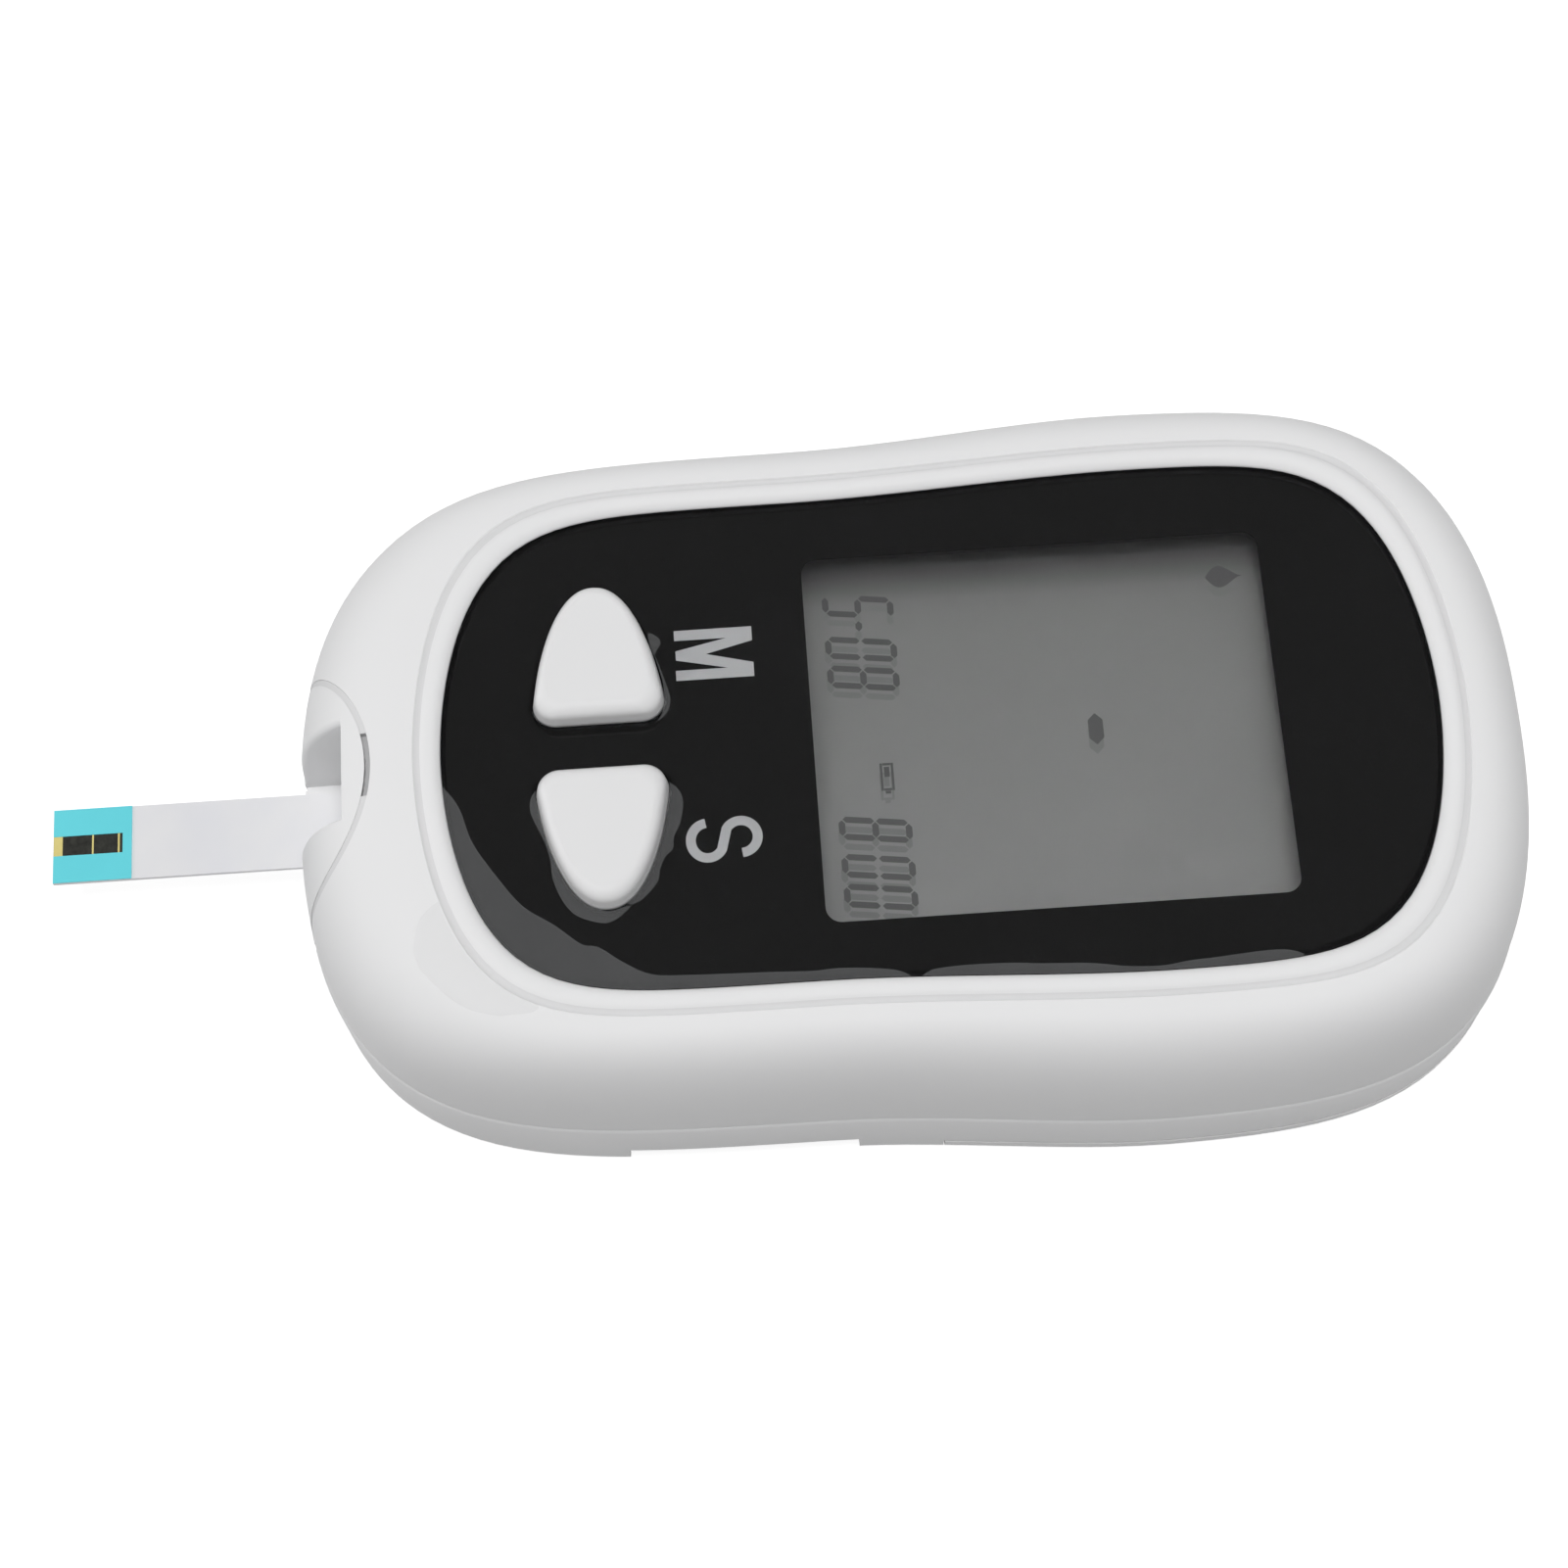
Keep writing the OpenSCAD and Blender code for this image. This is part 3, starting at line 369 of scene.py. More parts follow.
def shade_edge(mat, axis, stops):
    """Multiplies the tone along an axis: stops are (millimetres, factor), from low to high."""
    nodes, links = mat.node_tree.nodes, mat.node_tree.links
    coord, split, reach, ramp, scale = (nodes.new("ShaderNode" + kind) for kind in (
        "TexCoord", "SeparateXYZ", "MapRange", "ValToRGB", "VectorMath"))
    low, high = stops[0][0], stops[-1][0]
    reach.inputs["From Min"].default_value, reach.inputs["From Max"].default_value = low * MM, high * MM
    while len(ramp.color_ramp.elements) < len(stops):
        ramp.color_ramp.elements.new(0.5)
    for i, (place, factor) in enumerate(stops):
        ramp.color_ramp.elements[i].position = (place - low) / (high - low)
        ramp.color_ramp.elements[i].color = (factor, factor, factor, 1)
    shader = nodes["Principled BSDF"]
    links.new(coord.outputs["Object"], split.inputs["Vector"])
    links.new(split.outputs[axis], reach.inputs["Value"])
    links.new(reach.outputs["Result"], ramp.inputs["Fac"])
    scale.operation = "MULTIPLY"
    links.new(shader.inputs["Base Color"].links[0].from_socket, scale.inputs[0])
    links.new(ramp.outputs["Color"], scale.inputs[1])
    links.new(scale.outputs["Vector"], shader.inputs["Base Color"])


M = {
    "shell": material("soft_touch_white", (0.80, 0.80, 0.805), 0.5, vary=0.015, bump=0.25, distance=0.012,
                      specular=0.25),
    # Painted shade: a darker white for the groove round the panel and the joint round the strip port holder
    "recess": material("recess_white", (0.70, 0.70, 0.705), 0.55, vary=0.02, bump=0.25, distance=0.012,
                       specular=0.2),
    # Painted shade: a grey for the floor of the nail slot
    "slot_shade": material("painted_slot_shade_grey", (0.5, 0.5, 0.505), 0.6, vary=0.03, bump=0.25, distance=0.012,
                          specular=0.2),
    "key": material("key_white", (0.78, 0.78, 0.785), 0.42, vary=0.012, bump=0.15, distance=0.008),
    "lens": material("clear_lens", (0.97, 0.975, 0.98), 0.0, vary=0.01, rough_vary=0.0, transmission=1.0,
                     ior=1.3),
    "lens_edge": material("lens_edge_paint", (0.012, 0.012, 0.0125), 0.6, vary=0.1, specular=0.0),
    "mask": material("black_print", (0.004, 0.004, 0.0042), 0.6, vary=0.12, specular=0.0),
    "film": material("clear_film", (0.5, 0.5, 0.5), 0.12, vary=0.03, alpha=0.005),
    "film_lift": material("lifted_film", (0.62, 0.63, 0.64), 0.25, vary=0.1, cloud=300.0, alpha=0.059),
    "film_tab": material("film_tab", (0.5, 0.5, 0.5), 0.3, vary=0.1, alpha=0.024),
    "print_white": material("legend_print", (0.62, 0.62, 0.625), 0.5, vary=0.04),
    "display": material("display_polariser", (0.313, 0.310, 0.307), 0.55, vary=0.035, cloud=700.0,
                        grain=5000.0),
    "segment": material("display_segment", (0.098, 0.098, 0.098), 0.5, vary=0.06, cloud=1500.0),
    # Painted shadow of the display marks
    "segment_shade": material("display_segment_shade", (0.225, 0.226, 0.224), 0.55, vary=0.05,
                              cloud=1500.0),
    "glass": material("display_glass", (0.6, 0.63, 0.62), 0.08, vary=0.02, transmission=0.9, ior=1.5),
    "reflector": material("reflector_foil", (0.42, 0.43, 0.42), 0.45, vary=0.06, metal=0.8),
    "black": material("moulded_black", (0.02, 0.02, 0.022), 0.5, vary=0.15, bump=0.2),
    "grey": material("plunger_grey", (0.19, 0.19, 0.2), 0.45, vary=0.08),
    "elastomer": material("layered_elastomer", (0.5, 0.2, 0.25), 0.6, vary=0.25, cloud=4000.0),
    "board": material("solder_resist", (0.015, 0.15, 0.06), 0.35, vary=0.3, cloud=500.0),
    "ceramic": material("ceramic_parts", (0.42, 0.33, 0.24), 0.5, vary=0.3, cloud=900.0),
    "gold": material("gold_contacts", (0.83, 0.62, 0.25), 0.28, vary=0.08, metal=1.0),
    "steel": material("plated_steel", (0.62, 0.62, 0.64), 0.32, vary=0.06, metal=1.0),
    "cell": material("cell_sleeve", (0.04, 0.12, 0.06), 0.35, vary=0.2, cloud=40.0),
    "carrier": material("strip_carrier", (0.755, 0.762, 0.81), 0.35, vary=0.035, cloud=160.0,
                        tint=(0.81, 0.804, 0.791)),
    "turquoise": material("strip_cover_print", (0.144, 0.691, 0.773), 0.4, vary=0.04, cloud=250.0),
    "pad": material("reagent_pad", (0.012, 0.011, 0.01), 0.75, vary=0.5, cloud=2500.0, bump=0.4,
                    tint=(0.036, 0.037, 0.031)),
    "electrode": material("electrode_gold", (0.73, 0.63, 0.235), 0.45, vary=0.1, cloud=1800.0),
}
# The display lies below the panel, so painted shade darkens its edges and, more weakly, grows across it
# towards the far side
shade_edge(M["display"], "X", [(-15.2, 0.2), (-14.7, 0.216), (-14.1, 0.26), (-13.5, 0.365), (-12.9, 0.475),
                               (-12.3, 0.61), (-11.7, 0.725), (-10.5, 0.805), (-8.25, 0.86), (0, 0.915),
                               (15, 1.0)])
shade_edge(M["display"], "Y", [(-9.3, 0.92), (-6, 0.94), (-4.8, 1.0), (22.5, 1.0), (25.2, 0.97), (26.2, 0.9),
                               (28, 0.7)])
NODE_MATERIALS = {
    "shell": ("front_shell", "back_shell", "battery_door", "port_holder"),
    "key": ("memory_key_cap", "set_key_cap"), "lens": ("window_lens",), "film": ("screen_film",),
    "mask": ("window_mask",), "grey": ("memory_switch_plunger", "set_switch_plunger"),
    "carrier": ("strip_base",), "turquoise": ("strip_cover",), "pad": ("strip_reaction_pad",),
    "gold": ("strip_tracks", "strip_contacts"), "display": ("lcd_front_glass",), "glass": ("lcd_rear_glass",),
    "reflector": ("lcd_reflector",), "black": ("lcd_frame", "strip_connector", "controller_chip", "buzzer"),
    "elastomer": ("zebra_connectors",), "board": ("main_board",), "ceramic": ("board_parts",),
    "steel": ("switch_housings", "battery_springs", "battery_plates", "board_screws", "case_screws"),
    "cell": ("battery_cell_front", "battery_cell_rear"),
}
for key, names in NODE_MATERIALS.items():
    for name in names:
        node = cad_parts[name]
        node.data.materials.clear()
        node.data.materials.append(M[key])


# --- Housing -----------------------------------------------------------------------------------
def front_shell():
    # Distance out from the groove's inner edge or from the panel, and height from the top
    groove = [(0.5, -0.22), (0.42, -0.29), (0.27, -0.32), (0.1, -0.27), (0.0, -0.2)]
    bank = [(-0.1, -0.12), (-0.24, -0.05), (-0.38, -0.02)]
    bead = [(0.95, 0), (0.8, -0.005), (0.6, -0.03), (0.42, -0.1), (0.27, -0.19), (0.14, -0.31), (0.05, -0.42),
            (0, -0.52)]
    rim = [panel_ring(d, BODY_HEIGHT + h) for d, h in [(GROOVE_NEAR + d, h) for d, h in groove + bank] + bead]
    inner_seam = SEAM + TONGUE + 0.2
    inside = [body_ring(TONGUE_SEAT, SEAM), body_ring(TONGUE_SEAT, inner_seam), body_ring(WALL, inner_seam),
              *crown(body_ring(WALL, 0), panel_ring(0.3, 0), inner_seam, FACE_BOTTOM, 10)]
    shell = solid("upper_shell", loft(*inside[::-1], body_ring(SEAM_LEDGE + 0.04, SEAM),
                                      body_ring(SEAM_LEDGE, SEAM + 0.04), *outer_crown(), *rim,
                                      panel_ring(0, FACE_TOP)))
    socket = solid("socket", cylinder(0, HOLDER_Y, SEAM, BODY_HEIGHT + 5, SOCKET_R))
    combine(socket, "INTERSECT", whole_form(WALL / 2))
    combine(shell, "UNION", socket,
            *[cylinder(x, y, SEAM, FACE_BOTTOM + 0.4, UPPER_BOSS_R, 40) for x, y in CASE_SCREWS])
    w, l = WINDOW_W / 2 + WINDOW_STEP, WINDOW_L / 2 + WINDOW_STEP
    combine(shell, "DIFFERENCE", cylinder(0, HOLDER_Y, -5, 40, BORE_R), strip_passage(),
            box((-w, w), (WINDOW_Y - l, WINDOW_Y + l), (FACE_BOTTOM - 1, FACE_TOP + 1),
                WINDOW_CORNER + WINDOW_STEP, 8),
            *[key_block(side, KEY_GAP, FACE_BOTTOM - 1, FACE_TOP + 0.7) for side in BOTH],
            *[cylinder(x, y, SEAM - 1, 13, SCREW_PILOT_R, 32) for x, y in CASE_SCREWS])
    finish_piece(shell, "housing", ["shell", "recess"], ["front_shell"])
    # Painted shade: the groove's faces take the darker white
    shade_faces(shell, 1, lambda p: any(abs(p.z - BODY_HEIGHT - h) < 0.001 for _, h in groove))


def back_shell():
    tongue = WALL / 2 + 0.05
    shell = solid("lower_shell", loft(
        *base_rings(), body_ring(0, SEAM - 0.4), body_ring(0.11, SEAM - 0.08), body_ring(0.15, SEAM),
        body_ring(tongue, SEAM), body_ring(tongue, SEAM + TONGUE), body_ring(WALL, SEAM + TONGUE),
        body_ring(WALL, FLOOR_TOP)))
    socket = solid("socket", cylinder(0, HOLDER_Y, 0, SEAM, SOCKET_R))
    combine(socket, "INTERSECT", loft(
        body_ring(DRAFT + BASE_RADIUS + WALL / 2, WALL / 2),
        body_ring(DRAFT + WALL / 2, BASE_RADIUS + WALL / 2), body_ring(WALL / 2, SEAM)))
    combine(shell, "UNION", socket,
            box((-BAY_HALF - BAY_WALL, BAY_HALF + BAY_WALL), (BAY_FRONT - BAY_WALL, BAY_BACK + BAY_WALL),
                (FLOOR_TOP - WALL, BAY_TOP + 0.6)),
            *[cylinder(x, y, FLOOR_TOP - WALL, SEAM, LOWER_BOSS_R, 40) for x, y in CASE_SCREWS])
    cuts = [
        cylinder(0, HOLDER_Y, HOLDER_BOTTOM - HOLDER_GAP, 30, BORE_R),
        cylinder(0, HOLDER_Y, SEAM, 30, SOCKET_R + 0.1),
        strip_passage(),
        box((-OUT, OUT), (RECESS_FRONT, BAND_FRONT), (-1, RECESS_DEPTH)),
        box((-OUT, OUT), (DOOR_FRONT, OUT), (-1, DOOR_EDGE + DOOR_GAP)),
        box((-BAY_HALF, BAY_HALF), (BAY_FRONT, BAY_BACK), (-1, BAY_TOP))]
    for side in BOTH:
        tab, hook, half = side * TAB_X, side * HOOK_X, HOOK_L / 2 + 0.2
        cuts += [
            box((tab - TAB_HALF - 0.1, tab + TAB_HALF + 0.1), (DOOR_FRONT - TAB_REACH - 0.1, DOOR_FRONT + 1),
                (TAB_LOW - 0.1, TAB_HIGH + 0.1)),
            box((hook - HOOK_NECK - 0.2, hook + HOOK_NECK + 0.2),
                (HOOK_Y - half, HOOK_Y + HOOK_L / 2 + DOOR_TRAVEL), (0, HOOK_TOP + 0.85)),
            box((hook - HOOK_HEAD - 0.3, hook + HOOK_HEAD + 0.3),
                (HOOK_Y + DOOR_TRAVEL - half, HOOK_Y + DOOR_TRAVEL + half), (0, HOOK_TOP + 0.85))]
    for x, y in CASE_SCREWS:
        cuts += [cylinder(x, y, -1, FLOOR_TOP + 1, SCREW_HEAD_R, 40), cylinder(x, y, 0, 20, SCREW_HOLE_R, 32)]
    combine(shell, "DIFFERENCE", *cuts)
    finish_piece(shell, "housing", ["shell"], ["back_shell"])


def battery_door():
    door = solid("door", loft(*base_rings(), body_ring(0, 3.0)))
    combine(door, "INTERSECT", box((-OUT, OUT), (DOOR_FRONT + DOOR_GAP, OUT), (-1, DOOR_EDGE)))
    edge = BASE_RADIUS + 0.9
    pocket = solid("pocket", loft(body_ring(edge, DOOR_THICK), body_ring(edge, 3)))
    combine(pocket, "DIFFERENCE", box((-OUT, OUT), (-OUT, DOOR_FRONT + 1), (0, 10)))
    combine(door, "DIFFERENCE", pocket,
            box((-BAY_HALF - 1, BAY_HALF + 1), (DOOR_FRONT, BAY_BACK + 1), (DOOR_THICK, DOOR_EDGE + 1)))
    along = (HOOK_Y - HOOK_L / 2, HOOK_Y + HOOK_L / 2)
    for side in BOTH:
        tab, hook = side * TAB_X, side * HOOK_X
        combine(door, "UNION",
                box((tab - TAB_HALF, tab + TAB_HALF), (DOOR_FRONT - TAB_REACH, DOOR_FRONT + 1),
                    (TAB_LOW, TAB_HIGH)),
                box((hook - HOOK_NECK, hook + HOOK_NECK), along, (DOOR_THICK - 0.1, HOOK_TOP + 0.4)),
                box((hook - HOOK_HEAD, hook + HOOK_HEAD), along, (HOOK_TOP, HOOK_TOP + 0.8)))
    for i in range(RIBS):
        y, half = DOOR_FRONT + RIB_START + RIB_STEP * i, RIB_HALF - 0.6 * i
        combine(door, "DIFFERENCE", box((-half, half), (y, y + RIB_WIDTH), (-1, RIB_DEPTH)))
    finish_piece(door, "battery_door", ["shell"], ["battery_door"])


def port_holder():
    def pillar(name, inset, r):
        piece = solid(name, whole_form(inset))
        combine(piece, "INTERSECT", cylinder(0, HOLDER_Y, HOLDER_BOTTOM, 40, r, 200))
        return piece

    lip = pillar("lip", LIP_DEPTH, HOLDER_R + 0.24)
    combine(lip, "DIFFERENCE", box((-NAIL_W / 2, NAIL_W / 2), (NAIL_FRONT, 0), (SEAM, 40)))
    combine(lip, "UNION", pillar("nail_floor", NAIL_DEPTH, HOLDER_R + 0.22))
    holder = pillar("strip_holder", 0, HOLDER_R - LIP_WIDTH)
    half, back, low = NOTCH_W / 2, NOTCH_BACK - 0.02, STRIP_BOTTOM - SLOT_GAP
    combine(holder, "UNION", lip)
    combine(holder, "DIFFERENCE",
            box((-SLOT_HALF, SLOT_HALF), (HOLDER_Y - 9, 0), (low, STRIP_TOP + SLOT_GAP)),
            box((-half, half), (HOLDER_Y - 9, NOTCH_BACK), (low, 40), 0.2),
            edge_round(-half, back, 0.6), edge_round(half, back, 0.25))
    finish_piece(holder, "strip_port_holder", ["shell", "recess", "slot_shade"],
                 ["port_holder"])
    on_lip = lambda p: Vector((p.x, p.y - HOLDER_Y)).length > HOLDER_R - LIP_WIDTH - 0.02
    # Painted shade: the joint band round the holder takes the darker white
    shade_faces(holder, 1, on_lip)
    # Painted shade: the floor of the nail slot takes the grey
    shade_faces(holder, 2, lambda p: on_lip(p) and p.y > NAIL_FRONT and abs(p.x) < NAIL_W / 2 + 0.01)


# --- Panel, keys and display -------------------------------------------------------------------
def key_cap(side, body, node):
    """A flange under the panel, a narrow neck in it, a slight flare above it and a rounded top edge."""
    section = [(KEY_FLANGE, FLANGE_LOW), (KEY_FLANGE, FLANGE_HIGH), (-0.05, FLANGE_HIGH),
               (-0.05, LENS_BOTTOM + 0.6), (0.14, PANEL_TOP - 0.05), (0.08, PANEL_TOP + 0.3)]
    steps = 8
    for i in range(steps + 1):
        a = pi / 2 * i / steps
        inset = KEY_EDGE * 0.92 * (1 - cos(a)) + 0.04 * i / steps
        section.append((-inset, KEY_TOP - KEY_EDGE * (1 - sin(a))))
    cap = solid(node + "_smooth", loft(*[key_ring(side, grow, z) for grow, z in section]))
    combine(cap, "UNION", cylinder(side * STEM_X, -KEY_LINE, STEM_LOW, 17, STEM_R, 48))
    finish_piece(cap, body, ["key"], [node], sharp=40)
    # The large flat face keeps its own normal next to the small rounded edge
    mod = cap.modifiers.new("weighted", "WEIGHTED_NORMAL")
    mod.keep_sharp, mod.mode, mod.weight = True, "FACE_AREA", 50


def lens():
    top = PANEL_TOP - 0.01
    section = [(-0.3, LENS_BOTTOM + 0.03), (-0.03, LENS_BOTTOM + 0.18), (-0.03, top - 0.06),
               (-0.05, top - 0.02), (-0.1, top)]
    piece = solid("lens_plate", loft(*[panel_ring(grow, z) for grow, z in section]))
    combine(piece, "DIFFERENCE", *[key_block(side, KEY_GAP, LENS_BOTTOM - 1, PANEL_TOP + 1) for side in BOTH])
    finish_piece(piece, "housing", ["lens", "lens_edge"], ["window_lens"])
    for poly in piece.data.polygons:
        flat = abs(poly.normal.z) > 0.999
        poly.material_index, poly.use_smooth = (0, False) if flat else (1, True)


def ribbon(centre, width):
    """Outline of a stroke of that width along centre points."""
    left, right = [], []
    for i, p in enumerate(centre):
        a, b = centre[max(0, i - 1)], centre[min(len(centre) - 1, i + 1)]
        d = Vector((b[0] - a[0], b[1] - a[1])).normalized() * width / 2
        left.append((p[0] - d.y, p[1] + d.x))
        right.append((p[0] + d.y, p[1] - d.x))
    return left + right[::-1]


def legends():
    """The letters M and S, printed behind the lens beside the keys."""
    def arc(cx, cy, rx, ry, start, end, steps=28):
        angles = [radians(start + (end - start) * i / steps) for i in range(steps + 1)]
        return [(cx + rx * cos(a), cy + ry * sin(a)) for a in angles]

    m = [(0, 0), (0, 5.8), (1.15, 5.8), (2.05, 2.3), (2.95, 5.8), (4.1, 5.8), (4.1, 0), (3.28, 0),
         (3.28, 3.9), (2.42, 0.05), (1.68, 0.05), (0.82, 3.9), (0.82, 0)]
    s = ribbon(arc(1.66, 4.1, 1.26, 1.22, 2, 236) + arc(1.81, 1.66, 1.36, 1.22, 56, -176), 0.72)
    letters = [[(left + x, low + y) for x, y in outline]
               for left, low, outline in ((-9.4, -17.0, m), (5.8, -17.05, s))]
    piece = solid("key_legends", *[plate(o, LENS_BOTTOM + 0.002, LENS_BOTTOM + 0.015) for o in letters])
    finish_piece(piece, "housing", ["print_white"], sharp=60)


SEGMENTS = {"0": "abcdef", "5": "acdfg", "8": "abcdefg"}


def digit(char, x, y, w=1.85, h=5.37, t=0.48, gap=0.07, slant=0.128):
    """Bars of a slanted seven-segment digit whose lower left corner is at x, y."""
    def bar(x0, y0, x1, y1):
        d = Vector((x1 - x0, y1 - y0)).normalized()
        n = Vector((-d.y, d.x)) * t / 2
        a, b = Vector((x0, y0)) + d * gap, Vector((x1, y1)) - d * gap
        tip = d * t / 2
        return [(p.x + slant * (p.y - y - h / 2), p.y)
                for p in (a, a + tip + n, b - tip + n, b, b - tip - n, a + tip - n)]

    l, r, bottom, middle, top = x + t / 2, x + w - t / 2, y + t / 2, y + h / 2, y + h - t / 2
    lines = {"a": (l, top, r, top), "b": (r, middle, r, top), "c": (r, bottom, r, middle),
             "d": (l, bottom, r, bottom), "e": (l, bottom, l, middle), "f": (l, middle, l, top),
             "g": (l, middle, r, middle)}
    return [bar(*lines[s]) for s in SEGMENTS[char]]


def dash(x, y, w, h):
    """A bar with pointed ends round its middle."""
    return [(x - w / 2, y), (x - w / 2 + h / 2, y + h / 2), (x + w / 2 - h / 2, y + h / 2),
            (x + w / 2, y), (x + w / 2 - h / 2, y - h / 2), (x - w / 2 + h / 2, y - h / 2)]


def display_marks():
    """Digits, two dashes, a drop and a cell outline, each with its shadow on the reflector below painted as a
    paler offset copy.
    """
    bars = []
    for char, x in (("5", -12.4), ("0", -8.85), ("8", -6.45), ("8", 5.83), ("0", 8.8), ("0", 11.14)):
        bars += digit(char, x, -5.75)
    bars += [dash(-9.85, -3.1, 0.85, 0.5), dash(-0.15, 13.85, 2.55, 1.1)]
    bars.append([(-12.0 + 0.75 * (1 - t) ** 0.8 * sin(pi * t) * 1.9 * side, 23.3 + 2.8 * t)
                 for side, steps in ((1, range(0, 11)), (-1, range(9, 0, -1)))
                 for t in [k / 10 for k in steps]])
    bars += [[(x0, y0), (x1, y0), (x1, y1), (x0, y1)] for x0, y0, x1, y1 in (
        (1.5, -2.4, 3.7, -2.22), (1.5, -1.58, 3.7, -1.4), (1.5, -2.2, 1.68, -1.6), (3.52, -2.2, 3.7, -1.6),
        (3.72, -2.1, 3.95, -1.7), (1.8, -2.1, 2.6, -1.7))]
    low = GLASS_TOP + 0.01
    piece = solid("display_segments", *[plate(b, low + 0.02, low + 0.035) for b in bars])
    finish_piece(piece, "housing", ["segment"], sharp=60)
    # Painted shadow: paler copies of the marks, offset beside them just under the marks
    shade = solid("display_segment_shades", *[plate([(x + 0.75, y - 0.07) for x, y in b], low, low + 0.01)
                                              for b in bars])
    finish_piece(shade, "housing", ["segment_shade"], sharp=60)


def spline(points, steps=6, closed=True):
    """Smooth line through points."""
    n, out = len(points), []
    for i in range(n if closed else n - 1):
        places = [(i + k) % n if closed else min(n - 1, max(0, i + k)) for k in (-1, 0, 1, 2)]
        p = [Vector(points[place]) for place in places]
        for j in range(steps):
            t = j / steps
            out.append(0.5 * ((2 * p[1]) + (p[2] - p[0]) * t + (2 * p[0] - 5 * p[1] + 4 * p[2] - p[3]) * t * t
                              + (3 * p[1] - p[0] - 3 * p[2] + p[3]) * t ** 3))
    return [tuple(v) for v in out]


def lifted_film():
    """Places where the protective film has come away from the panel, which look paler."""
    low, high = PANEL_TOP + 0.104, PANEL_TOP + 0.12
    edge = [
        (2.4, -34.4), (4.1, -33.3), (6.9, -32.4), (9.7, -30.7), (12.1, -28.9), (13.7, -26.7), (15.3, -24.8),
        (15.6, -23.6), (16.8, -22.0), (17.9, -20.0), (18.15, -17.5), (18.34, -11.9), (18.48, -8.4),
        (18.4, -7.0), (18.46, -5.3), (18.64, -3.6), (18.87, -2.4), (19.16, -1.76), (19.5, -1.3), (19.5, -0.9),
        (19.16, -0.3), (18.94, 0.3), (18.8, 2.6), (18.88, 5.9), (19.04, 7.6), (19.16, 9.55), (19.3, 11.5),
        (19.7, 13.96), (19.82, 16.4), (19.58, 18.4), (19.49, 20.0), (19.34, 22.0), (19.22, 23.7),
        (19.23, 25.1), (19.42, 26.0), (19.68, 26.5)]
    patches = [
        [(3.0, -27.4), (3.6, -28.0), (4.7, -28.15), (6.0, -27.7), (7.3, -27.15), (8.8, -26.8), (10.1, -26.7),
         (11.8, -26.1), (13.0, -25.2), (13.6, -24.0), (13.8, -22.9), (13.4, -22.0), (12.6, -21.2),
         (12.9, -22.9), (12.0, -24.2), (9.6, -25.9), (6.0, -27.3), (3.7, -27.4)],
        [(3.2, -18.0), (3.9, -17.2), (5.0, -17.0), (6.5, -17.3), (7.5, -17.8), (8.4, -17.9), (9.0, -18.5),
         (9.9, -18.9), (11.0, -19.2), (12.3, -20.5), (12.3, -21.4), (10.6, -20.1), (7.4, -18.66),
         (4.6, -18.0)],
        [(-8.9, -18.9), (-8.6, -18.2), (-8.1, -18.0), (-7.6, -18.25), (-7.2, -18.6)],
        [(-7.2, -18.5), (-5.1, -17.85), (-3.5, -17.5), (-2.4, -17.8), (-1.8, -18.5), (-2.6, -18.1),
         (-4.6, -17.95)]]
    border = spline(edge, 5, False) + [edge[-1], (40, 26.6), (40, -60), (2.4, -60)]
    piece = solid("film_lifted", plate(border, low, high))
    combine(piece, "INTERSECT", panel_block(0.03, low - 1, high + 1))
    combine(piece, "UNION", *[plate(spline(patch), low, high) for patch in patches])
    combine(piece, "DIFFERENCE", *[key_block(side, 0.2, low - 1, high + 1) for side in BOTH])
    finish_piece(piece, "housing", ["film_lift"], sharp=60)


def film_tab():
    """Pull tab of the protective film, laid over the housing's shoulder."""
    outline = spline([(19.8, -28.0), (20.3, -30.4), (20.15, -31.4), (19.6, -33.0), (18.6, -34.4),
                      (17.1, -35.8), (15.7, -36.7), (14.2, -36.8), (12.3, -36.1), (11.5, -34.0),
                      (16.0, -30.0)])
    tab = solid("film_pull_tab", whole_form(-0.04))
    combine(tab, "DIFFERENCE", whole_form(-0.02))
    combine(tab, "INTERSECT", plate(outline, SEAM, BODY_HEIGHT))
    combine(tab, "DIFFERENCE", panel_block(GROOVE_NEAR + GROOVE_WIDTH + 0.05, SEAM, 30))
    finish_piece(tab, "housing", ["film_tab"], sharp=60)


def strip_electrodes():
    """Gold leads that show in the open reaction zone of the strip."""
    tip, z = STRIP_END - STRIP_OUT, STRIP_BOTTOM + 0.4
    leads = [(0.02, 0.7), (2.95, 3.08), (4.93, 5.07)]
    piece = solid("strip_electrodes", *[box((-0.8, 0.8), (tip + near, tip + far), (z - 0.01, z + 0.012))
                                        for near, far in leads])
    finish_piece(piece, "test_strip", ["electrode"], sharp=30)


front_shell()
back_shell()
battery_door()
port_holder()
key_cap(-1, "memory_key", "memory_key_cap")
key_cap(1, "set_key", "set_key_cap")
lens()
legends()
display_marks()
lifted_film()
film_tab()
strip_electrodes()


# --- Stage -------------------------------------------------------------------------------------
AZIMUTH, ELEVATION, ROLL = radians(88.85), radians(67.0), radians(-2.736)
LOOK_AT, DISTANCE, LENS_LENGTH = Vector((3.868, -9.571, 19.4)) * MM, 243.3 * MM, 76.59


def link_new(name, data):
    obj = bpy.data.objects.new(name, data)
    bpy.context.scene.collection.objects.link(obj)
    return obj


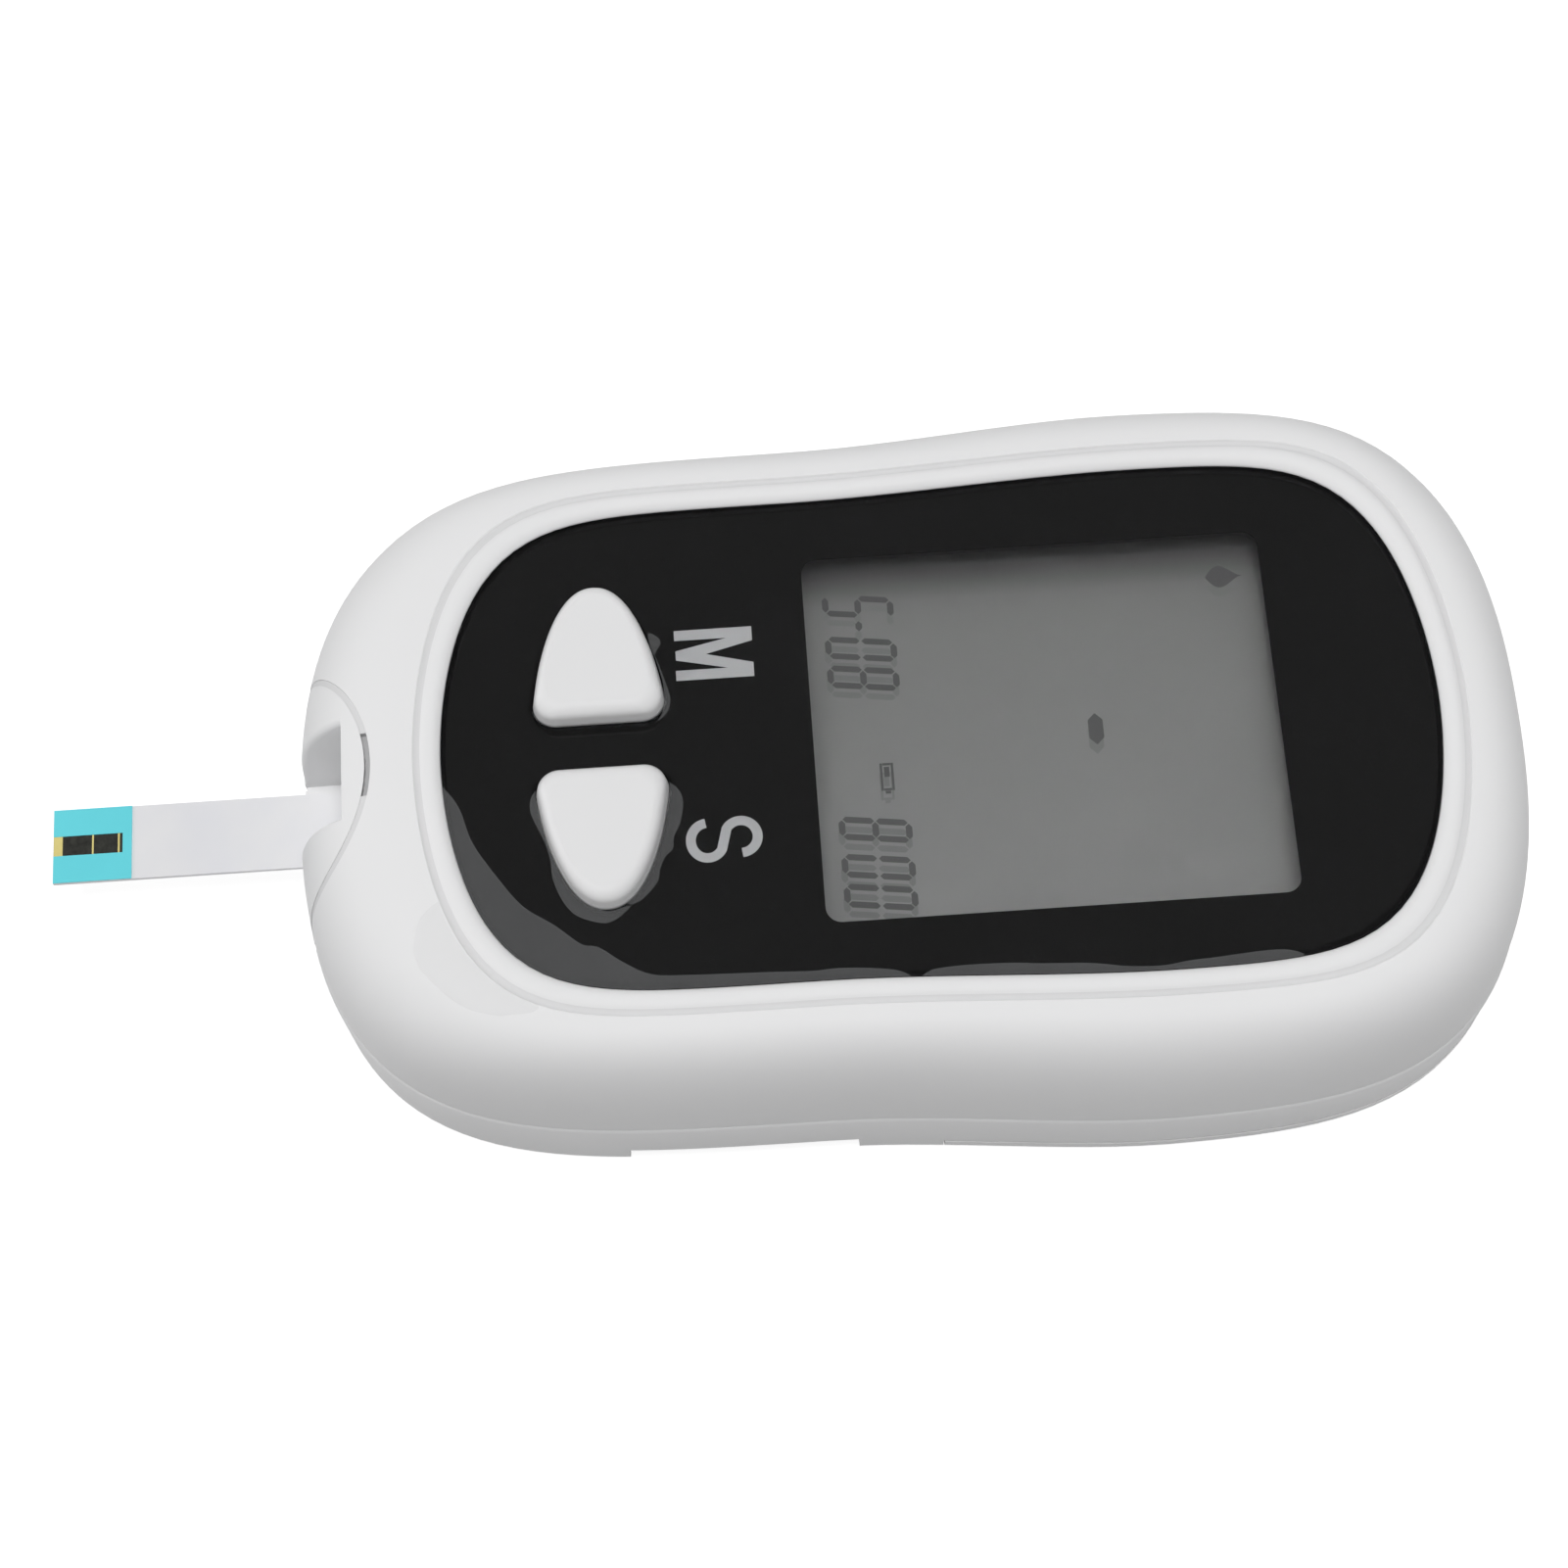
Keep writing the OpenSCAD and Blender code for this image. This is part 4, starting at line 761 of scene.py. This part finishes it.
def camera():
    data = bpy.data.cameras.new("view")
    cam = link_new("view", data)
    data.lens, data.sensor_width, data.clip_start, data.clip_end = LENS_LENGTH, 36.0, 0.01, 10.0
    back = Vector((sin(AZIMUTH) * cos(ELEVATION), -cos(AZIMUTH) * cos(ELEVATION), sin(ELEVATION)))
    right = (-back).cross(Vector((0, 0, 1))).normalized()
    up = right.cross(-back)
    right, up = right * cos(ROLL) + up * sin(ROLL), up * cos(ROLL) - right * sin(ROLL)
    turn = Matrix((right, up, back)).transposed()
    cam.matrix_world = Matrix.Translation(LOOK_AT + back * DISTANCE) @ turn.to_4x4()
    bpy.context.scene.camera = cam


def lamp(name, place, size, power, mirrored=True):
    """A square lamp that looks at the meter; mirrored says whether glossy surfaces show it."""
    data = bpy.data.lights.new(name, "AREA")
    data.shape, data.size, data.energy = "SQUARE", size, power
    obj = link_new(name, data)
    obj.location = place
    obj.visible_glossy = mirrored
    obj.rotation_euler = (-Vector(place)).to_track_quat("-Z", "Y").to_euler()


def math_node(nodes, links, operation, a, b):
    node = nodes.new("ShaderNodeMath")
    node.operation = operation
    for socket, value in zip(node.inputs, (a, b)):
        if isinstance(value, float):
            socket.default_value = value
        else:
            links.new(value, socket)
    return node.outputs["Value"]


def seen_rays(nodes, links):
    """1 for what the camera sees straight, mirrored or through clear plastic."""
    path = nodes.new("ShaderNodeLightPath")
    seen = path.outputs["Is Camera Ray"]
    for name in ("Is Glossy Ray", "Is Transmission Ray"):
        seen = math_node(nodes, links, "MAXIMUM", seen, path.outputs[name])
    return seen


def paper_floor():
    bm = bmesh.new()
    bmesh.ops.create_grid(bm, x_segments=1, y_segments=1, size=3.0)
    floor = mesh_object("floor", bm)
    paper = material("white_floor", (0.35, 0.35, 0.35), 0.9, vary=0.005, rough_vary=0.02, cloud=3.0,
                     grain=60.0)
    nodes, links = paper.node_tree.nodes, paper.node_tree.links
    shader = nodes["Principled BSDF"]
    glow = math_node(nodes, links, "MULTIPLY", seen_rays(nodes, links), 0.85)
    links.new(glow, shader.inputs["Emission Strength"])
    shader.inputs["Emission Color"].default_value = (1, 1, 1, 1)
    floor.data.materials.append(paper)


def studio():
    """White behind the meter, a white low band in mirrors, and a dim fill elsewhere."""
    world = bpy.data.worlds.new("studio")
    bpy.context.scene.world = world
    world.use_nodes = True
    nodes, links = world.node_tree.nodes, world.node_tree.links
    back = nodes["Background"]
    back.inputs["Color"].default_value = (1, 1, 1, 1)
    path, coord, split = (nodes.new("ShaderNode" + kind) for kind in ("LightPath", "TexCoord", "SeparateXYZ"))
    links.new(coord.outputs["Generated"], split.inputs["Vector"])
    low = math_node(nodes, links, "LESS_THAN", split.outputs["Z"], 0.15)
    mirrored = math_node(nodes, links, "MULTIPLY", low, seen_rays(nodes, links))
    seen = math_node(nodes, links, "MAXIMUM", mirrored, path.outputs["Is Camera Ray"])
    links.new(math_node(nodes, links, "MAXIMUM", seen, 0.2), back.inputs["Strength"])


camera()
paper_floor()
studio()
lamp("overhead", (0.12, 0.0, 0.98), 0.35, 6.05, mirrored=False)
lamp("left_fill", (-0.34, -0.88, 0.38), 0.45, 2.5)
lamp("right_fill", (-0.25, 0.85, 0.45), 0.45, 1.0)
lamp("near_fill", (0.9, -0.15, 0.3), 0.5, 0.95)
bpy.context.scene.view_settings.view_transform = "Standard"
